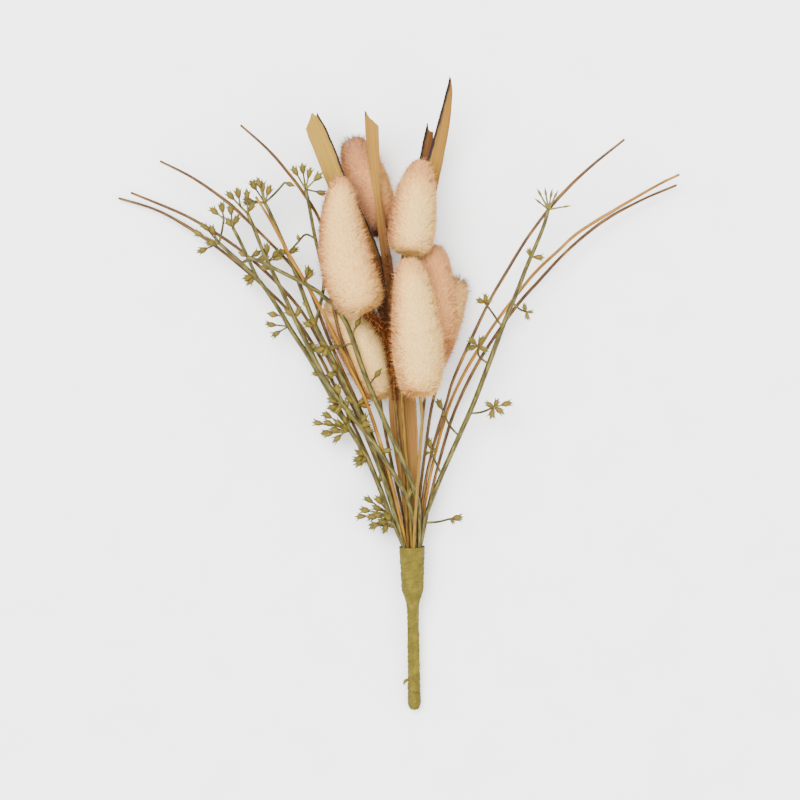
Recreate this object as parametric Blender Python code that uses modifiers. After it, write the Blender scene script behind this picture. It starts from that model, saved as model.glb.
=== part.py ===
"""A bound pick of dried bunny tail grass, lying on its back.

Seven bunny tails, four dry leaf strips, eight thin stalks and five budded sprays leave the mouth of a
taped stem. Metres, +Z up, heads towards +Y, stem end towards -Y, the lowest point at z = 0.
"""

import math

import bmesh
import bpy
from mathutils import Matrix, Vector

MM = 0.001

# Driving dimensions, in millimetres.
BUNCH_LENGTH = 267.0
MOUTH_HEIGHT = 11.0
MOUTH_RADIUS = 5.45
COLLAR_RADIUS = 4.7
SHAFT_RADIUS = 2.45
SHAFT_END_RADIUS = 2.75
TAPE_LENGTH = 69.7
TAPE_LEAN = 1.05
POCKET_RADIUS = 5.0
POCKET_DEPTH = 5.0
STEM_IN_POCKET = 4.0
SLOT_PITCH = 1.5
STEM_MOUTH_RADIUS = 0.58
STEM_GROWTH = 0.02
HEAD_STEM_RADIUS = 0.68
STALK_RADIUS = 0.72
STALK_TIP_RADIUS = 0.5
STALK_TIP_RUN = 25.0
SPRAY_STEM_RADIUS = 1.0
SPRAY_TOP_RADIUS = 0.7
TWIG_RADIUS = 0.42
BUD_RADIUS = 1.25
BUD_LENGTH = 4.6
LEAF_THICKNESS = 0.5
LEAF_FOLD = 0.22
NECK_IN_HEAD = 4.0

# Places are traced by eye on an upright picture of the bunch: pixels across and down, then the height
# above the surface in millimetres. The bunch spans this many pixels, and this is the mouth of its tape.
PICTURE_LENGTH = 636.0
PICTURE_MOUTH = (412.0, 547.0)
MM_PER_PIXEL = BUNCH_LENGTH / PICTURE_LENGTH

HEAD_SIDES = 12
HEAD_RINGS = 9
HEAD_ROUNDNESS = 0.6
TAPE_SIDES = 12
STEM_SIDES = 6
TWIG_SIDES = 4
STEM_SPACING = 20.0
WELD = 1e-6


def cleared_scene():
    """An empty scene with a collection for the bunch and one for the shapes that are joined to its pieces."""
    for obj in list(bpy.data.objects):
        bpy.data.objects.remove(obj)
    bunch = bpy.data.collections.new("bunny_tail_bunch")
    helpers = bpy.data.collections.new("pieces_to_join")
    for collection in (bunch, helpers):
        bpy.context.scene.collection.children.link(collection)
    return bunch, helpers


BUNCH, HELPERS = cleared_scene()
ROOT = bpy.data.objects.new("bunch_frame", None)
BUNCH.objects.link(ROOT)
TO_JOIN = []


def finish(name, color, roughness):
    """A plain material with the part's own colour."""
    material = bpy.data.materials.new(name)
    material.use_nodes = True
    shader = material.node_tree.nodes["Principled BSDF"]
    shader.inputs["Base Color"].default_value = (*color, 1)
    shader.inputs["Roughness"].default_value = roughness
    shader.inputs["Metallic"].default_value = 0
    return material


FLUFF = finish("fluff", (0.78, 0.56, 0.43), 0.95)
BROWN_STALK = finish("brown_stalk", (0.21, 0.1, 0.035), 0.6)
GOLDEN_STALK = finish("golden_stalk", (0.52, 0.29, 0.07), 0.55)
LEAF = finish("dry_leaf", (0.5, 0.34, 0.14), 0.75)
SPRAY = finish("green_spray", (0.2, 0.19, 0.08), 0.6)
TAPE = finish("crepe_tape", (0.38, 0.34, 0.12), 0.85)


def placed(name, data, material):
    """An object of the bunch, held by the frame that all pieces share."""
    obj = bpy.data.objects.new(name, data)
    data.materials.append(material)
    BUNCH.objects.link(obj)
    obj.parent = ROOT
    return obj


def at(across, down, height):
    """A traced point in millimetres, measured from below the mouth of the tape."""
    return Vector(
        (
            (across - PICTURE_MOUTH[0]) * MM_PER_PIXEL,
            (PICTURE_MOUTH[1] - down) * MM_PER_PIXEL,
            height,
        )
    )


def traced(points):
    return [at(*point) for point in points]


def smooth(knots, spacing=STEM_SPACING):
    """Points about a spacing apart on a curve that passes through every knot."""
    ends = [2 * knots[0] - knots[1], *knots, 2 * knots[-1] - knots[-2]]
    line = []
    for before, start, end, after in zip(ends, ends[1:], ends[2:], ends[3:]):
        steps = max(1, round((end - start).length / spacing))
        for step in range(steps):
            t = step / steps
            line.append(
                start
                + 0.5 * t * (end - before)
                + 0.5 * t**2 * (2 * before - 5 * start + 4 * end - after)
                + 0.5 * t**3 * (3 * start - before - 3 * end + after)
            )
    return [*line, knots[-1].copy()]


# The tape's axis drops from the mouth just enough for the underside of its swollen end to touch the surface.
TAPE_REST = 67.0
MOUTH = Vector((0, 0, MOUTH_HEIGHT))
TAPE_DROP = math.asin(MOUTH_HEIGHT / math.hypot(TAPE_REST, SHAFT_END_RADIUS))
TAPE_DROP -= math.atan2(SHAFT_END_RADIUS, TAPE_REST)
TAPE_DOWN = Vector((TAPE_LEAN, -TAPE_LENGTH, 0)).normalized() * math.cos(TAPE_DROP)
TAPE_DOWN.z = -math.sin(TAPE_DROP)


def slot(column, row):
    """A stem's own place in the mouth, where the stems are packed as in a honeycomb."""
    return MOUTH + SLOT_PITCH * Vector((column, 0, row * math.sqrt(3) / 2))


def to_mouth(points, column, row):
    """A smooth line through the traced points, then into the mouth and down the pocket."""
    entry = slot(column, row)
    line = smooth([*points, entry])
    return [*line, entry + TAPE_DOWN * STEM_IN_POCKET]


def tube(name, line, radii, sides, material):
    """A round stem as a curve with filled caps. Points and radii are in millimetres."""
    data = bpy.data.curves.new(name, "CURVE")
    data.dimensions = "3D"
    data.bevel_depth = MM
    data.bevel_resolution = (sides - 4) // 2
    data.use_fill_caps = True
    spline = data.splines.new("POLY")
    spline.points.add(len(line) - 1)
    for point, place, radius in zip(spline.points, line, radii):
        point.co = (*(place * MM), 1)
        point.radius = radius
    return placed(name, data, material)


def stem_radii(line, full, top=None, top_run=1.0):
    """Full size along the stem, thinner where the tape squeezes it and, if asked, towards its top."""
    radii = []
    for place in line:
        squeezed = STEM_MOUTH_RADIUS + STEM_GROWTH * max(0, place.y)
        from_top = (place - line[0]).length / top_run
        thinned = full if top is None else top + (full - top) * min(1, from_top)
        radii.append(min(full, squeezed, thinned))
    return radii


def tape_wrap():
    """The taped stem: a collar with a pocket that the stems enter, a taper and a thin shaft."""
    outline = [
        (0, -POCKET_DEPTH),
        (POCKET_RADIUS, -POCKET_DEPTH),
        (POCKET_RADIUS, 0),
        (MOUTH_RADIUS, 0),
        (COLLAR_RADIUS + 0.2, -10),
        (COLLAR_RADIUS, -18),
        (COLLAR_RADIUS - 1.2, -21.5),
        (SHAFT_RADIUS + 0.2, -24.5),
        (SHAFT_RADIUS, -31),
        (SHAFT_RADIUS + 0.1, -58),
        (SHAFT_END_RADIUS, -63),
        (SHAFT_END_RADIUS, -TAPE_REST),
        (SHAFT_END_RADIUS - 1.0, -TAPE_LENGTH + 0.4),
        (0, -TAPE_LENGTH),
    ]
    mesh = bpy.data.meshes.new("tape_wrap")
    points = [(radius * MM, 0, height * MM) for radius, height in outline]
    mesh.from_pydata(points, [(i, i + 1) for i in range(len(points) - 1)], [])
    wrap = placed("tape_wrap", mesh, TAPE)
    wrap.location = MOUTH * MM
    wrap.rotation_euler = (-TAPE_DOWN).to_track_quat("Z", "Y").to_euler()
    turn = wrap.modifiers.new("turned", "SCREW")
    turn.steps = turn.render_steps = TAPE_SIDES
    turn.use_merge_vertices = True
    turn.merge_threshold = 0.00005
    turn.use_smooth_shade = True


def welded_mesh(source):
    """The curve object as a mesh whose caps are joined to its sides. The curve is removed."""
    graph = bpy.context.evaluated_depsgraph_get()
    mesh = bpy.data.meshes.new_from_object(source.evaluated_get(graph))
    bm = bmesh.new()
    bm.from_mesh(mesh)
    bmesh.ops.remove_doubles(bm, verts=bm.verts, dist=WELD)
    bmesh.ops.recalc_face_normals(bm, faces=bm.faces)
    bm.to_mesh(mesh)
    bm.free()
    bpy.data.objects.remove(source)
    return mesh


def to_be_joined(whole, tubes):
    """Notes that these tubes grow from a piece. They are joined to it once all the shapes are made."""
    parts = bpy.data.collections.new(whole.name + "_parts")
    HELPERS.children.link(parts)
    for piece in tubes:
        label = piece.name
        part = bpy.data.objects.new(label + "_solid", welded_mesh(piece))
        part.parent = ROOT
        part.hide_render = True
        part.display_type = "WIRE"
        parts.objects.link(part)
    TO_JOIN.append((whole, parts))


def bunny_tail(name, axis, radius, taper, stem, column, row, rests=False):
    """A furry head, a ball drawn out along a bent axis from its tip to its base, on its thin stem."""
    line = smooth(traced(axis), 4.0)
    bm = bmesh.new()
    bmesh.ops.create_uvsphere(bm, u_segments=HEAD_SIDES, v_segments=HEAD_RINGS, radius=1)

    def fullness(share):
        bulge = (4 * share * (1 - share)) ** (HEAD_ROUNDNESS / 2)
        return bulge * (1 + taper * (share - 0.5))

    most = max(fullness(step / 100) for step in range(101))
    for vert in bm.verts:
        share = (1 - vert.co.z) / 2
        along = share * (len(line) - 1)
        step = min(int(along), len(line) - 2)
        centre = line[step].lerp(line[step + 1], along - step)
        tangent = (line[step + 1] - line[step]).normalized()
        side = tangent.cross(Vector((0, 0, 1))).normalized()
        up = side.cross(tangent)
        round_about = Vector((vert.co.x, vert.co.y))
        if round_about.length > WELD:
            round_about.normalize()
        reach = radius * fullness(min(max(share, 0), 1)) / most
        vert.co = centre + (side * round_about.x + up * round_about.y) * reach
    if rests:
        drop = Vector((0, 0, min(vert.co.z for vert in bm.verts)))
        for vert in bm.verts:
            vert.co -= drop
        line = [place - drop for place in line]
    bmesh.ops.recalc_face_normals(bm, faces=bm.faces)
    bmesh.ops.scale(bm, vec=(MM, MM, MM), verts=bm.verts)
    mesh = bpy.data.meshes.new(name)
    bm.to_mesh(mesh)
    bm.free()
    mesh.shade_smooth()
    head = placed(name, mesh, FLUFF)

    base_tangent = (line[-1] - line[-2]).normalized()
    route = to_mouth([line[-1], *traced(stem)], column, row)
    route.insert(0, line[-1] - base_tangent * NECK_IN_HEAD)
    neck_down = tube(name + "_stem", route, stem_radii(route, HEAD_STEM_RADIUS), STEM_SIDES, FLUFF)
    to_be_joined(head, [neck_down])


def stalk(name, route, column, row, material):
    """A thin bare stalk that arches out of the bunch."""
    line = to_mouth(traced(route), column, row)
    radii = stem_radii(line, STALK_RADIUS, STALK_TIP_RADIUS, STALK_TIP_RUN)
    tube(name, line, radii, STEM_SIDES, material)


def leaf(name, ribs, column, row, mouth_half_width=1.15):
    """A dry leaf strip folded along its midrib, from rows of a traced point and the half width there."""
    half_widths = [rib[3] for rib in ribs]
    entry = slot(column, row)
    half_widths += [mouth_half_width, mouth_half_width]
    line = [*traced(rib[:3] for rib in ribs), entry, entry + TAPE_DOWN * STEM_IN_POCKET]
    rows = []
    for step, (place, half) in enumerate(zip(line, half_widths)):
        tangent = (line[min(step + 1, len(line) - 1)] - line[max(step - 1, 0)]).normalized()
        side = tangent.cross(Vector((0, 0, 1))).normalized()
        up = side.cross(tangent)
        lift = up * half * LEAF_FOLD
        rows.append([place - side * half + lift, place, place + side * half + lift])
    bm = bmesh.new()
    bmesh.ops.create_grid(bm, x_segments=2, y_segments=len(rows) - 1, size=1)
    for vert in bm.verts:
        across = round(vert.co.x + 1)
        along = round((vert.co.y + 1) / 2 * (len(rows) - 1))
        vert.co = rows[along][across] * MM
    bmesh.ops.recalc_face_normals(bm, faces=bm.faces)
    mesh = bpy.data.meshes.new(name)
    bm.to_mesh(mesh)
    bm.free()
    blade = placed(name, mesh, LEAF)
    shell = blade.modifiers.new("thickness", "SOLIDIFY")
    shell.thickness = LEAF_THICKNESS * MM
    shell.offset = 0


def nearest(lines, place):
    """The point on these lines that lies nearest as seen from above."""
    points = [point for line in lines for point in smooth(line, 1.0)]
    return min(points, key=lambda point: (point.xy - place.xy).length)


def bud(name, base, tip):
    """A thin ray that ends in one pointed bud."""
    along = (tip - base).normalized()
    reach = (tip - base).length
    size = min(1, 0.85 * reach / BUD_LENGTH)
    long = BUD_LENGTH * size
    fat = BUD_RADIUS * size
    line = [base, tip - along * long, tip - along * long * 0.55, tip]
    radii = [TWIG_RADIUS * 1.1, TWIG_RADIUS, fat, 0.12]
    return tube(name, line, radii, TWIG_SIDES, SPRAY)


def spray(name, stems, twigs, clusters, column, row):
    """A branching spray in one piece: its stems, its bare twigs and the buds that sit in clusters."""
    main = traced(stems[0])
    line = to_mouth(main, column, row)
    radii = stem_radii(line, SPRAY_STEM_RADIUS, SPRAY_TOP_RADIUS, 60.0)
    trunk = tube(name, line, radii, STEM_SIDES, SPRAY)
    lines = [[*main, slot(column, row)]]
    pieces = []
    for number, stem in enumerate(stems[1:]):
        branch = traced(stem)
        branch.append(nearest(lines, branch.pop()))
        run = smooth(branch)
        thickness = [SPRAY_TOP_RADIUS] * len(run)
        pieces.append(tube(f"{name}_branch_{number}", run, thickness, STEM_SIDES, SPRAY))
        lines.append(branch)
    for number, (start, *rest) in enumerate(twigs):
        root = nearest(lines, at(*start, 0))
        run = [root, *(at(across, down, root.z + rise) for across, down, rise in rest)]
        pieces.append(tube(f"{name}_twig_{number}", run, [TWIG_RADIUS * 1.15] * len(run), TWIG_SIDES, SPRAY))
        lines.append(run)
    for number, (start, tips) in enumerate(clusters):
        root = nearest(lines, at(*start, 0))
        for place, (across, down, rise) in enumerate(tips):
            pieces.append(bud(f"{name}_bud_{number}_{place}", root, at(across, down, root.z + rise)))

    stem = welded_mesh(trunk)
    to_be_joined(placed(name, stem, SPRAY), pieces)


tape_wrap()

bunny_tail(
    "bunny_tail_front_left",
    axis=[(341, 178, 33), (341, 222, 33), (348, 270, 33), (367, 313, 32.5)],
    radius=11.3,
    taper=0.75,
    stem=[(379, 325, 30.5), (389, 343, 27), (394, 388, 21.5), (398, 430, 18.8), (404, 480, 16.6)],
    column=-1,
    row=2,
)
bunny_tail(
    "bunny_tail_back_left",
    axis=[(351, 138, 9.5), (361, 165, 9.5), (372, 200, 9.5), (381, 235, 9.5)],
    radius=9.5,
    taper=0.2,
    stem=[(390, 270, 9.8), (394, 310, 9.6), (397, 355, 9.6), (397, 400, 9.6), (401, 460, 8.9)],
    column=0.5,
    row=-3,
    rests=True,
)
bunny_tail(
    "bunny_tail_top_right",
    axis=[(422, 161, 29), (416, 195, 29), (412, 228, 29), (410, 256, 29)],
    radius=9.8,
    taper=0.62,
    stem=[(407, 280, 25.6), (403, 315, 24.4), (401, 355, 22.8), (402, 400, 20.8), (405, 445, 18.3), (409, 495, 15.8)],
    column=0,
    row=2,
)
bunny_tail(
    "bunny_tail_low_left",
    axis=[(336, 294, 10), (352, 326, 10), (367, 354, 10), (375, 378, 10), (380, 400, 10)],
    radius=10.5,
    taper=-0.1,
    stem=[(384, 425, 9.6), (391, 460, 8.8), (401, 505, 7.8)],
    column=-0.5,
    row=-3,
    rests=True,
)
bunny_tail(
    "bunny_tail_front_right",
    axis=[(408, 259, 40), (412, 290, 40), (416, 330, 40), (419, 365, 40), (420, 397, 39.5)],
    radius=10.6,
    taper=0.42,
    stem=[(422, 420, 34.8), (420, 450, 30), (418, 480, 25.4), (415.5, 512, 20.4)],
    column=0.5,
    row=3,
)
bunny_tail(
    "bunny_tail_mid_right",
    axis=[(433, 246, 18), (434, 280, 21.8), (438, 315, 23.2), (443, 345, 23)],
    radius=8.4,
    taper=0.1,
    stem=[(441, 370, 21.8), (432, 405, 20), (426, 445, 17.6), (420, 495, 14.8)],
    column=1.5,
    row=1,
)
bunny_tail(
    "bunny_tail_back_right",
    axis=[(461, 279, 7.3), (449, 308, 7.3), (438, 340, 7.3), (428, 373, 7.3)],
    radius=7.3,
    taper=0.1,
    stem=[(424, 405, 7.8), (420, 450, 8), (416, 500, 8.2)],
    column=1,
    row=-2,
    rests=True,
)

leaf(
    "leaf_left",
    [
        (311, 118, 24.5, 3.4),
        (317, 132, 23.4, 4.2),
        (327, 156, 22, 4.3),
        (336, 180, 21, 4.2),
        (346, 208, 20.6, 4.0),
        (358, 236, 20.2, 3.8),
        (369, 264, 19.4, 3.5),
        (378, 296, 18.4, 3.1),
        (390, 332, 17.4, 1.9),
        (395, 368, 16.8, 1.7),
        (395, 402, 14.2, 2.8),
        (398, 434, 13.0, 2.9),
        (403, 470, 11.5, 2.5),
        (408, 512, 10.1, 1.8),
    ],
    column=0,
    row=-1,
)
leaf(
    "leaf_centre",
    [
        (371, 114, 24, 2.6),
        (372, 130, 23, 2.9),
        (374, 160, 21.8, 2.4),
        (378, 198, 21, 1.4),
        (383, 236, 20.8, 1.9),
        (388, 268, 20.6, 2.2),
        (392, 300, 20.4, 2.3),
        (397, 342, 19.6, 2.5),
        (399, 392, 18, 2.9),
        (402, 440, 16, 2.6),
        (407, 492, 14.2, 1.9),
    ],
    column=0,
    row=1,
)
leaf(
    "leaf_right",
    [
        (450, 78, 24.5, 0.3),
        (449, 93, 23, 1.5),
        (444, 122, 19.5, 2.6),
        (437, 153, 16.6, 3.2),
        (430, 184, 15, 3.4),
        (422, 220, 14.6, 3.2),
        (414, 256, 14.8, 3.0),
        (408, 298, 15.2, 2.8),
        (406, 345, 15.2, 2.8),
        (409, 396, 15.4, 2.9),
        (412, 440, 14.5, 2.4),
        (413, 495, 12.8, 1.7),
    ],
    column=0.5,
    row=0,
)
leaf(
    "leaf_sliver",
    [
        (430, 126, 16.5, 1.5),
        (428, 140, 14.4, 2.1),
        (424, 160, 12.6, 2.1),
        (416, 192, 11.8, 1.7),
        (409, 232, 11.8, 1.7),
        (403, 275, 12, 1.6),
        (401, 322, 12.2, 1.6),
        (401, 375, 12, 1.5),
        (404, 440, 10.4, 1.3),
        (409, 500, 9.2, 0.9),
    ],
    column=0,
    row=-2,
    mouth_half_width=0.55,
)

stalk(
    "stalk_left_high",
    [
        (241, 126, 28),
        (268, 150, 27),
        (289, 174, 25.4),
        (306, 197, 22.6),
        (319, 219, 20),
        (326, 245, 18.8),
        (329, 275, 18.4),
        (333, 305, 19.6),
        (340, 335, 20.8),
        (352, 366, 18.8),
        (365, 398, 15.8),
        (378, 437, 14),
        (392, 485, 12.4),
    ],
    column=-2,
    row=0,
    material=BROWN_STALK,
)
stalk(
    "stalk_left_second",
    [
        (160, 161, 17),
        (193, 178, 18.4),
        (226, 201, 18.8),
        (247, 220, 18.4),
        (281, 254, 17),
        (306, 284, 15.6),
        (317, 308, 14.4),
        (327, 335, 13.4),
        (340, 365, 12.8),
        (356, 400, 12.2),
        (374, 440, 11),
        (391, 488, 9.6),
    ],
    column=-1,
    row=-2,
    material=BROWN_STALK,
)
stalk(
    "stalk_left_third",
    [
        (130, 192, 9),
        (176, 211, 11.4),
        (201, 224, 12.2),
        (239, 249, 12.6),
        (277, 283, 12.2),
        (302, 312, 11.6),
        (321, 345, 11),
        (339, 380, 10.4),
        (357, 416, 10),
        (374, 456, 9.4),
        (390, 500, 8.8),
    ],
    column=-2,
    row=-2,
    material=BROWN_STALK,
)
stalk(
    "stalk_left_low",
    [
        (117, 197, 2.6),
        (155, 209, 4.6),
        (188, 227, 6),
        (222, 251, 7),
        (260, 283, 7.8),
        (294, 317, 8.2),
        (316, 350, 8.5),
        (334, 385, 8.7),
        (352, 422, 8.9),
        (370, 462, 9.2),
        (387, 508, 9.5),
    ],
    column=-2.5,
    row=-1,
    material=BROWN_STALK,
)
stalk(
    "stalk_golden",
    [
        (256, 197, 24.6),
        (272, 223, 24.6),
        (290, 256, 24),
        (312, 293, 23),
        (323, 313, 22.2),
        (336, 338, 21.4),
        (352, 371, 20),
        (369, 409, 18.2),
        (384, 455, 16.2),
        (396, 500, 14.6),
    ],
    column=-1.5,
    row=1,
    material=GOLDEN_STALK,
)
stalk(
    "stalk_right_high",
    [
        (624, 140, 25),
        (594, 164, 24),
        (571, 185, 22.8),
        (549, 209, 21.6),
        (526, 240, 20.6),
        (504, 276, 19.8),
        (487, 306, 19.2),
        (456, 373, 17),
        (446, 404, 15.6),
        (438, 430, 14.4),
        (431, 456, 13.4),
        (424, 491, 12.2),
    ],
    column=2,
    row=0,
    material=BROWN_STALK,
)
stalk(
    "stalk_right_second",
    [
        (680, 174, 13),
        (654, 187, 13.8),
        (585, 228, 14.6),
        (559, 250, 14.6),
        (533, 275, 14.4),
        (499, 318, 13.8),
        (481, 345, 13.2),
        (464, 374, 12.6),
        (450, 404, 12),
        (439, 440, 11.2),
        (430, 477, 10.6),
        (423, 516, 10),
    ],
    column=1.5,
    row=-1,
    material=GOLDEN_STALK,
)
stalk(
    "stalk_right_low",
    [
        (678, 184, 4),
        (645, 198, 5.6),
        (611, 216, 6.8),
        (585, 235, 7.6),
        (561, 257, 8.2),
        (537, 283, 8.6),
        (516, 307, 8.8),
        (486, 350, 9),
        (468, 382, 9.2),
        (453, 416, 9.3),
        (442, 452, 9.4),
        (431, 495, 9.5),
    ],
    column=2.5,
    row=-1,
    material=BROWN_STALK,
)

spray(
    "spray_outer_left",
    stems=[
        [
            (219, 243, 16.4),
            (241, 263, 15.8),
            (261, 283, 15),
            (278, 308, 14.2),
            (291, 330, 13.8),
            (305, 351, 13.4),
            (320, 376, 13.2),
            (349, 428, 13),
            (366, 456, 12.9),
            (379, 486, 12.7),
            (390, 515, 12.5),
        ],
        [(233, 228, 20), (239, 239, 19.4), (246, 254, 18), (252, 267, 16.6), (258, 279, 15)],
    ],
    twigs=[
        [(219, 243), (222, 231, 2.2), (224, 219, 3.6)],
    ],
    clusters=[
        ((219, 243), [(192, 231, 1), (201, 222, 2.2), (209, 224, -1.4), (196, 253, 0.6), (204, 243, 2)]),
        ((224, 219), [(209, 207, 1), (221, 201, 1.6)]),
        ((233, 228), [(230, 203, 1), (225, 217, -1.6), (239, 214, 2.4)]),
        ((256, 276), [(241, 279, -1), (246, 286, -2)]),
        ((284, 317), [(266, 313, 1.4)]),
        ((288, 326), [(264, 324, 0.6), (270, 337, -1)]),
        ((349, 428), [(311, 422, 1), (321, 412, 2.4), (329, 404, 3.4), (319, 434, -1), (332, 443, -2.4)]),
        ((366, 456), [(354, 450, 1.6), (355, 468, -1)]),
        ((390, 515), [(363, 496, 1.4), (375, 495, 2.6), (354, 517, 0), (368, 530, -2), (383, 535, 1.6)]),
    ],
    column=-2.5,
    row=1,
)
spray(
    "spray_middle_left",
    stems=[
        [
            (248, 214, 22.6),
            (254, 228, 22.4),
            (261, 246, 22),
            (268, 262, 21.6),
            (282, 291, 20.4),
            (295, 319, 19.4),
            (310, 350, 18.8),
            (326, 381, 18.4),
            (343, 405, 18.6),
            (361, 427, 19),
            (380, 452, 19.6),
            (398, 481, 19.6),
            (408, 500, 18.6),
            (414, 522, 16.6),
        ],
    ],
    twigs=[
        [(248, 214), (241, 207, 1)],
    ],
    clusters=[
        ((248, 214), [(247, 188, 2), (255, 201, 1)]),
        ((241, 207), [(237, 187, 1.4), (226, 191, 1)]),
        ((268, 262), [(267, 242, 2), (281, 249, 1.6), (284, 255, -1)]),
        ((272, 270), [(259, 266, 2)]),
        ((343, 405), [(336, 383, 2), (326, 409, 1.6)]),
        ((380, 452), [(393, 449, 2)]),
    ],
    column=1,
    row=2,
)
spray(
    "spray_inner_left",
    stems=[
        [
            (265, 203, 21.6),
            (272, 217, 21.6),
            (288, 254, 21.2),
            (297, 277, 20.8),
            (306, 302, 19.8),
            (315, 325, 18.4),
            (328, 351, 17),
            (342, 378, 16),
            (356, 406, 15.4),
            (371, 442, 14.9),
            (386, 486, 14.4),
        ],
        [
            (306, 190, 28),
            (309, 204, 27.6),
            (312, 221, 27),
            (316, 241, 26),
            (320, 258, 24.8),
            (324, 275, 23),
            (323, 292, 20.8),
            (319, 310, 19.2),
            (315, 325, 18.4),
        ],
    ],
    twigs=[
        [(265, 203), (275, 194, 1.6), (285, 183, 3.6)],
        [(313, 239), (306, 235, 1), (299, 242, 1.4), (291, 251, 1)],
    ],
    clusters=[
        ((265, 203), [(250, 180, 2), (257, 177, 3), (262, 180, 1), (271, 184, -1), (242, 203, -3), (242, 199, -4.6)]),
        ((285, 183), [(296, 187, 0)]),
        ((306, 190), [(292, 166, 1), (302, 163, 2), (311, 167, 0), (323, 173, 1.6), (328, 195, 0)]),
        ((299, 242), [(298, 234, 1)]),
        ((308, 306), [(302, 302, 1.4)]),
        ((316, 328), [(302, 322, 1), (311, 316, 2.6)]),
        ((342, 378), [(331, 362, 2)]),
    ],
    column=-2,
    row=2,
)
spray(
    "spray_crossing",
    stems=[
        [
            (247, 257, 26),
            (261, 262, 26.2),
            (279, 271, 26.6),
            (312, 288, 26.4),
            (325, 298, 26),
            (337, 309, 25.4),
            (347, 325, 24.8),
            (354, 343, 24.4),
            (361, 364, 24),
            (369, 385, 23.6),
            (378, 406, 23.2),
            (388, 429, 22.8),
            (398, 451, 22.2),
            (407, 471, 21.2),
            (414, 490, 19.8),
            (419, 510, 17.4),
        ],
    ],
    twigs=[
        [(354, 343), (341, 346, 0.6), (328, 347, 1)],
    ],
    clusters=[
        ((247, 257), [(238, 252, 1)]),
        ((306, 284), [(309, 265, 2), (314, 269, 0.6)]),
        ((352, 336), [(361, 317, 1.6)]),
        ((328, 347), [(315, 352, 0.6), (320, 341, 1.4), (322, 358, -1)]),
        ((369, 385), [(382, 368, 1.6)]),
    ],
    column=2,
    row=2,
)
spray(
    "spray_right",
    stems=[
        [
            (548, 210, 26.6),
            (542, 230, 25.8),
            (526, 268, 23.8),
            (516, 294, 22.2),
            (504, 323, 20.4),
            (494, 350, 19),
            (475, 400, 17),
            (461, 432, 15.8),
            (443, 472, 14.6),
            (432, 499, 13.9),
            (424, 523, 13.2),
        ],
    ],
    twigs=[
        [(513, 302), (519, 309, 1), (526, 312, 1)],
        [(501, 326), (493, 314, 1), (485, 303, 1.4)],
        [(488, 364), (479, 356, 1), (478, 346, 1.4)],
        [(470, 414), (482, 412, 1), (494, 407, 1.6)],
        [(459, 436), (450, 426, 1), (445, 416, 1.2)],
        [(442, 474), (436, 463, 1), (431, 452, 1.4)],
        [(424, 523), (438, 522, 1), (450, 519, 1.6)],
    ],
    clusters=[
        ((548, 210), [(536, 188, 1), (544, 187, 2.4), (552, 188, 0), (558, 190, 3), (572, 206, 1), (533, 198, -1)]),
        ((531, 256), [(527, 248, 1), (545, 258, 1.4)]),
        ((526, 312), [(534, 312, 0), (528, 321, -1), (523, 303, 1)]),
        ((485, 303), [(475, 299, 0), (486, 293, 1), (493, 299, -1)]),
        ((478, 346), [(468, 337, 3), (484, 335, 2), (466, 349, 2.4), (489, 352, 1)]),
        ((494, 407), [(513, 402, 0), (499, 398, 1), (505, 414, -1), (484, 402, 2), (490, 420, -1.4)]),
        ((445, 416), [(437, 398, 0), (441, 413, 1)]),
        ((431, 452), [(428, 436, 0), (438, 449, 1), (424, 454, -0.6)]),
        ((450, 519), [(464, 517, 0), (455, 524, 1)]),
    ],
    column=2.5,
    row=1,
)


def join_pieces():
    """Unites each head with its stem, and each spray's stem with its branches, twigs and buds."""
    for whole, parts in TO_JOIN:
        union = whole.modifiers.new("joined", "BOOLEAN")
        union.operation = "UNION"
        union.operand_type = "COLLECTION"
        union.collection = parts
        union.solver = "EXACT"


def set_on_origin():
    """Moves the whole bunch so that the middle of its underside is the origin."""
    bpy.context.view_layer.update()
    graph = bpy.context.evaluated_depsgraph_get()
    corners = []
    for obj in BUNCH.objects:
        if obj.type == "EMPTY":
            continue
        ready = obj.evaluated_get(graph)
        mesh = ready.to_mesh()
        corners += [ready.matrix_world @ vert.co for vert in mesh.vertices]
        ready.to_mesh_clear()
    low = Vector(min(corner[axis] for corner in corners) for axis in range(3))
    high = Vector(max(corner[axis] for corner in corners) for axis in range(3))
    middle = (low + high) / 2
    ROOT.matrix_world = Matrix.Translation((-middle.x, -middle.y, -low.z))


join_pieces()
set_on_origin()
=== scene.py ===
# %% [markdown]
# # A dried bunny tail pick
#
# This is a small bound pick of dried flowers, lying on its back on a pale table. Seven furry heads, four
# leaf strips, eight bare stalks and five budded sprays leave the mouth of a stem that is wrapped in crepe
# tape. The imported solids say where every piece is. This script gives each of them the surface that the real
# thing has: fur made of single hairs, torn and scorched leaves, streaked stalks, toothed buds and tape.

import bpy
import numpy as np
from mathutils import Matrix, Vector


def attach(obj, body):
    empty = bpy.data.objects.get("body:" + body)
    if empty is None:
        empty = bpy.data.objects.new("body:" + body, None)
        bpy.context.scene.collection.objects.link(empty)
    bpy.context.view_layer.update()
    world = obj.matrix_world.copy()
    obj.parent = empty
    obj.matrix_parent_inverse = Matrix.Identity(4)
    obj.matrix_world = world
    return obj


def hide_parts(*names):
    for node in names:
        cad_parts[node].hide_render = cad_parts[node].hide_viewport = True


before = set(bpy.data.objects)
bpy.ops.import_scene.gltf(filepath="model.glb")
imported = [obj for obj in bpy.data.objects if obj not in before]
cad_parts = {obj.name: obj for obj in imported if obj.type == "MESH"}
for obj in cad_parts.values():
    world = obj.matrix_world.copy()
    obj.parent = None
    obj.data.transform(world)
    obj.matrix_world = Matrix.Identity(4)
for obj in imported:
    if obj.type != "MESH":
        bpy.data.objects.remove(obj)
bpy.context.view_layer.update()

MM = 0.001


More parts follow.
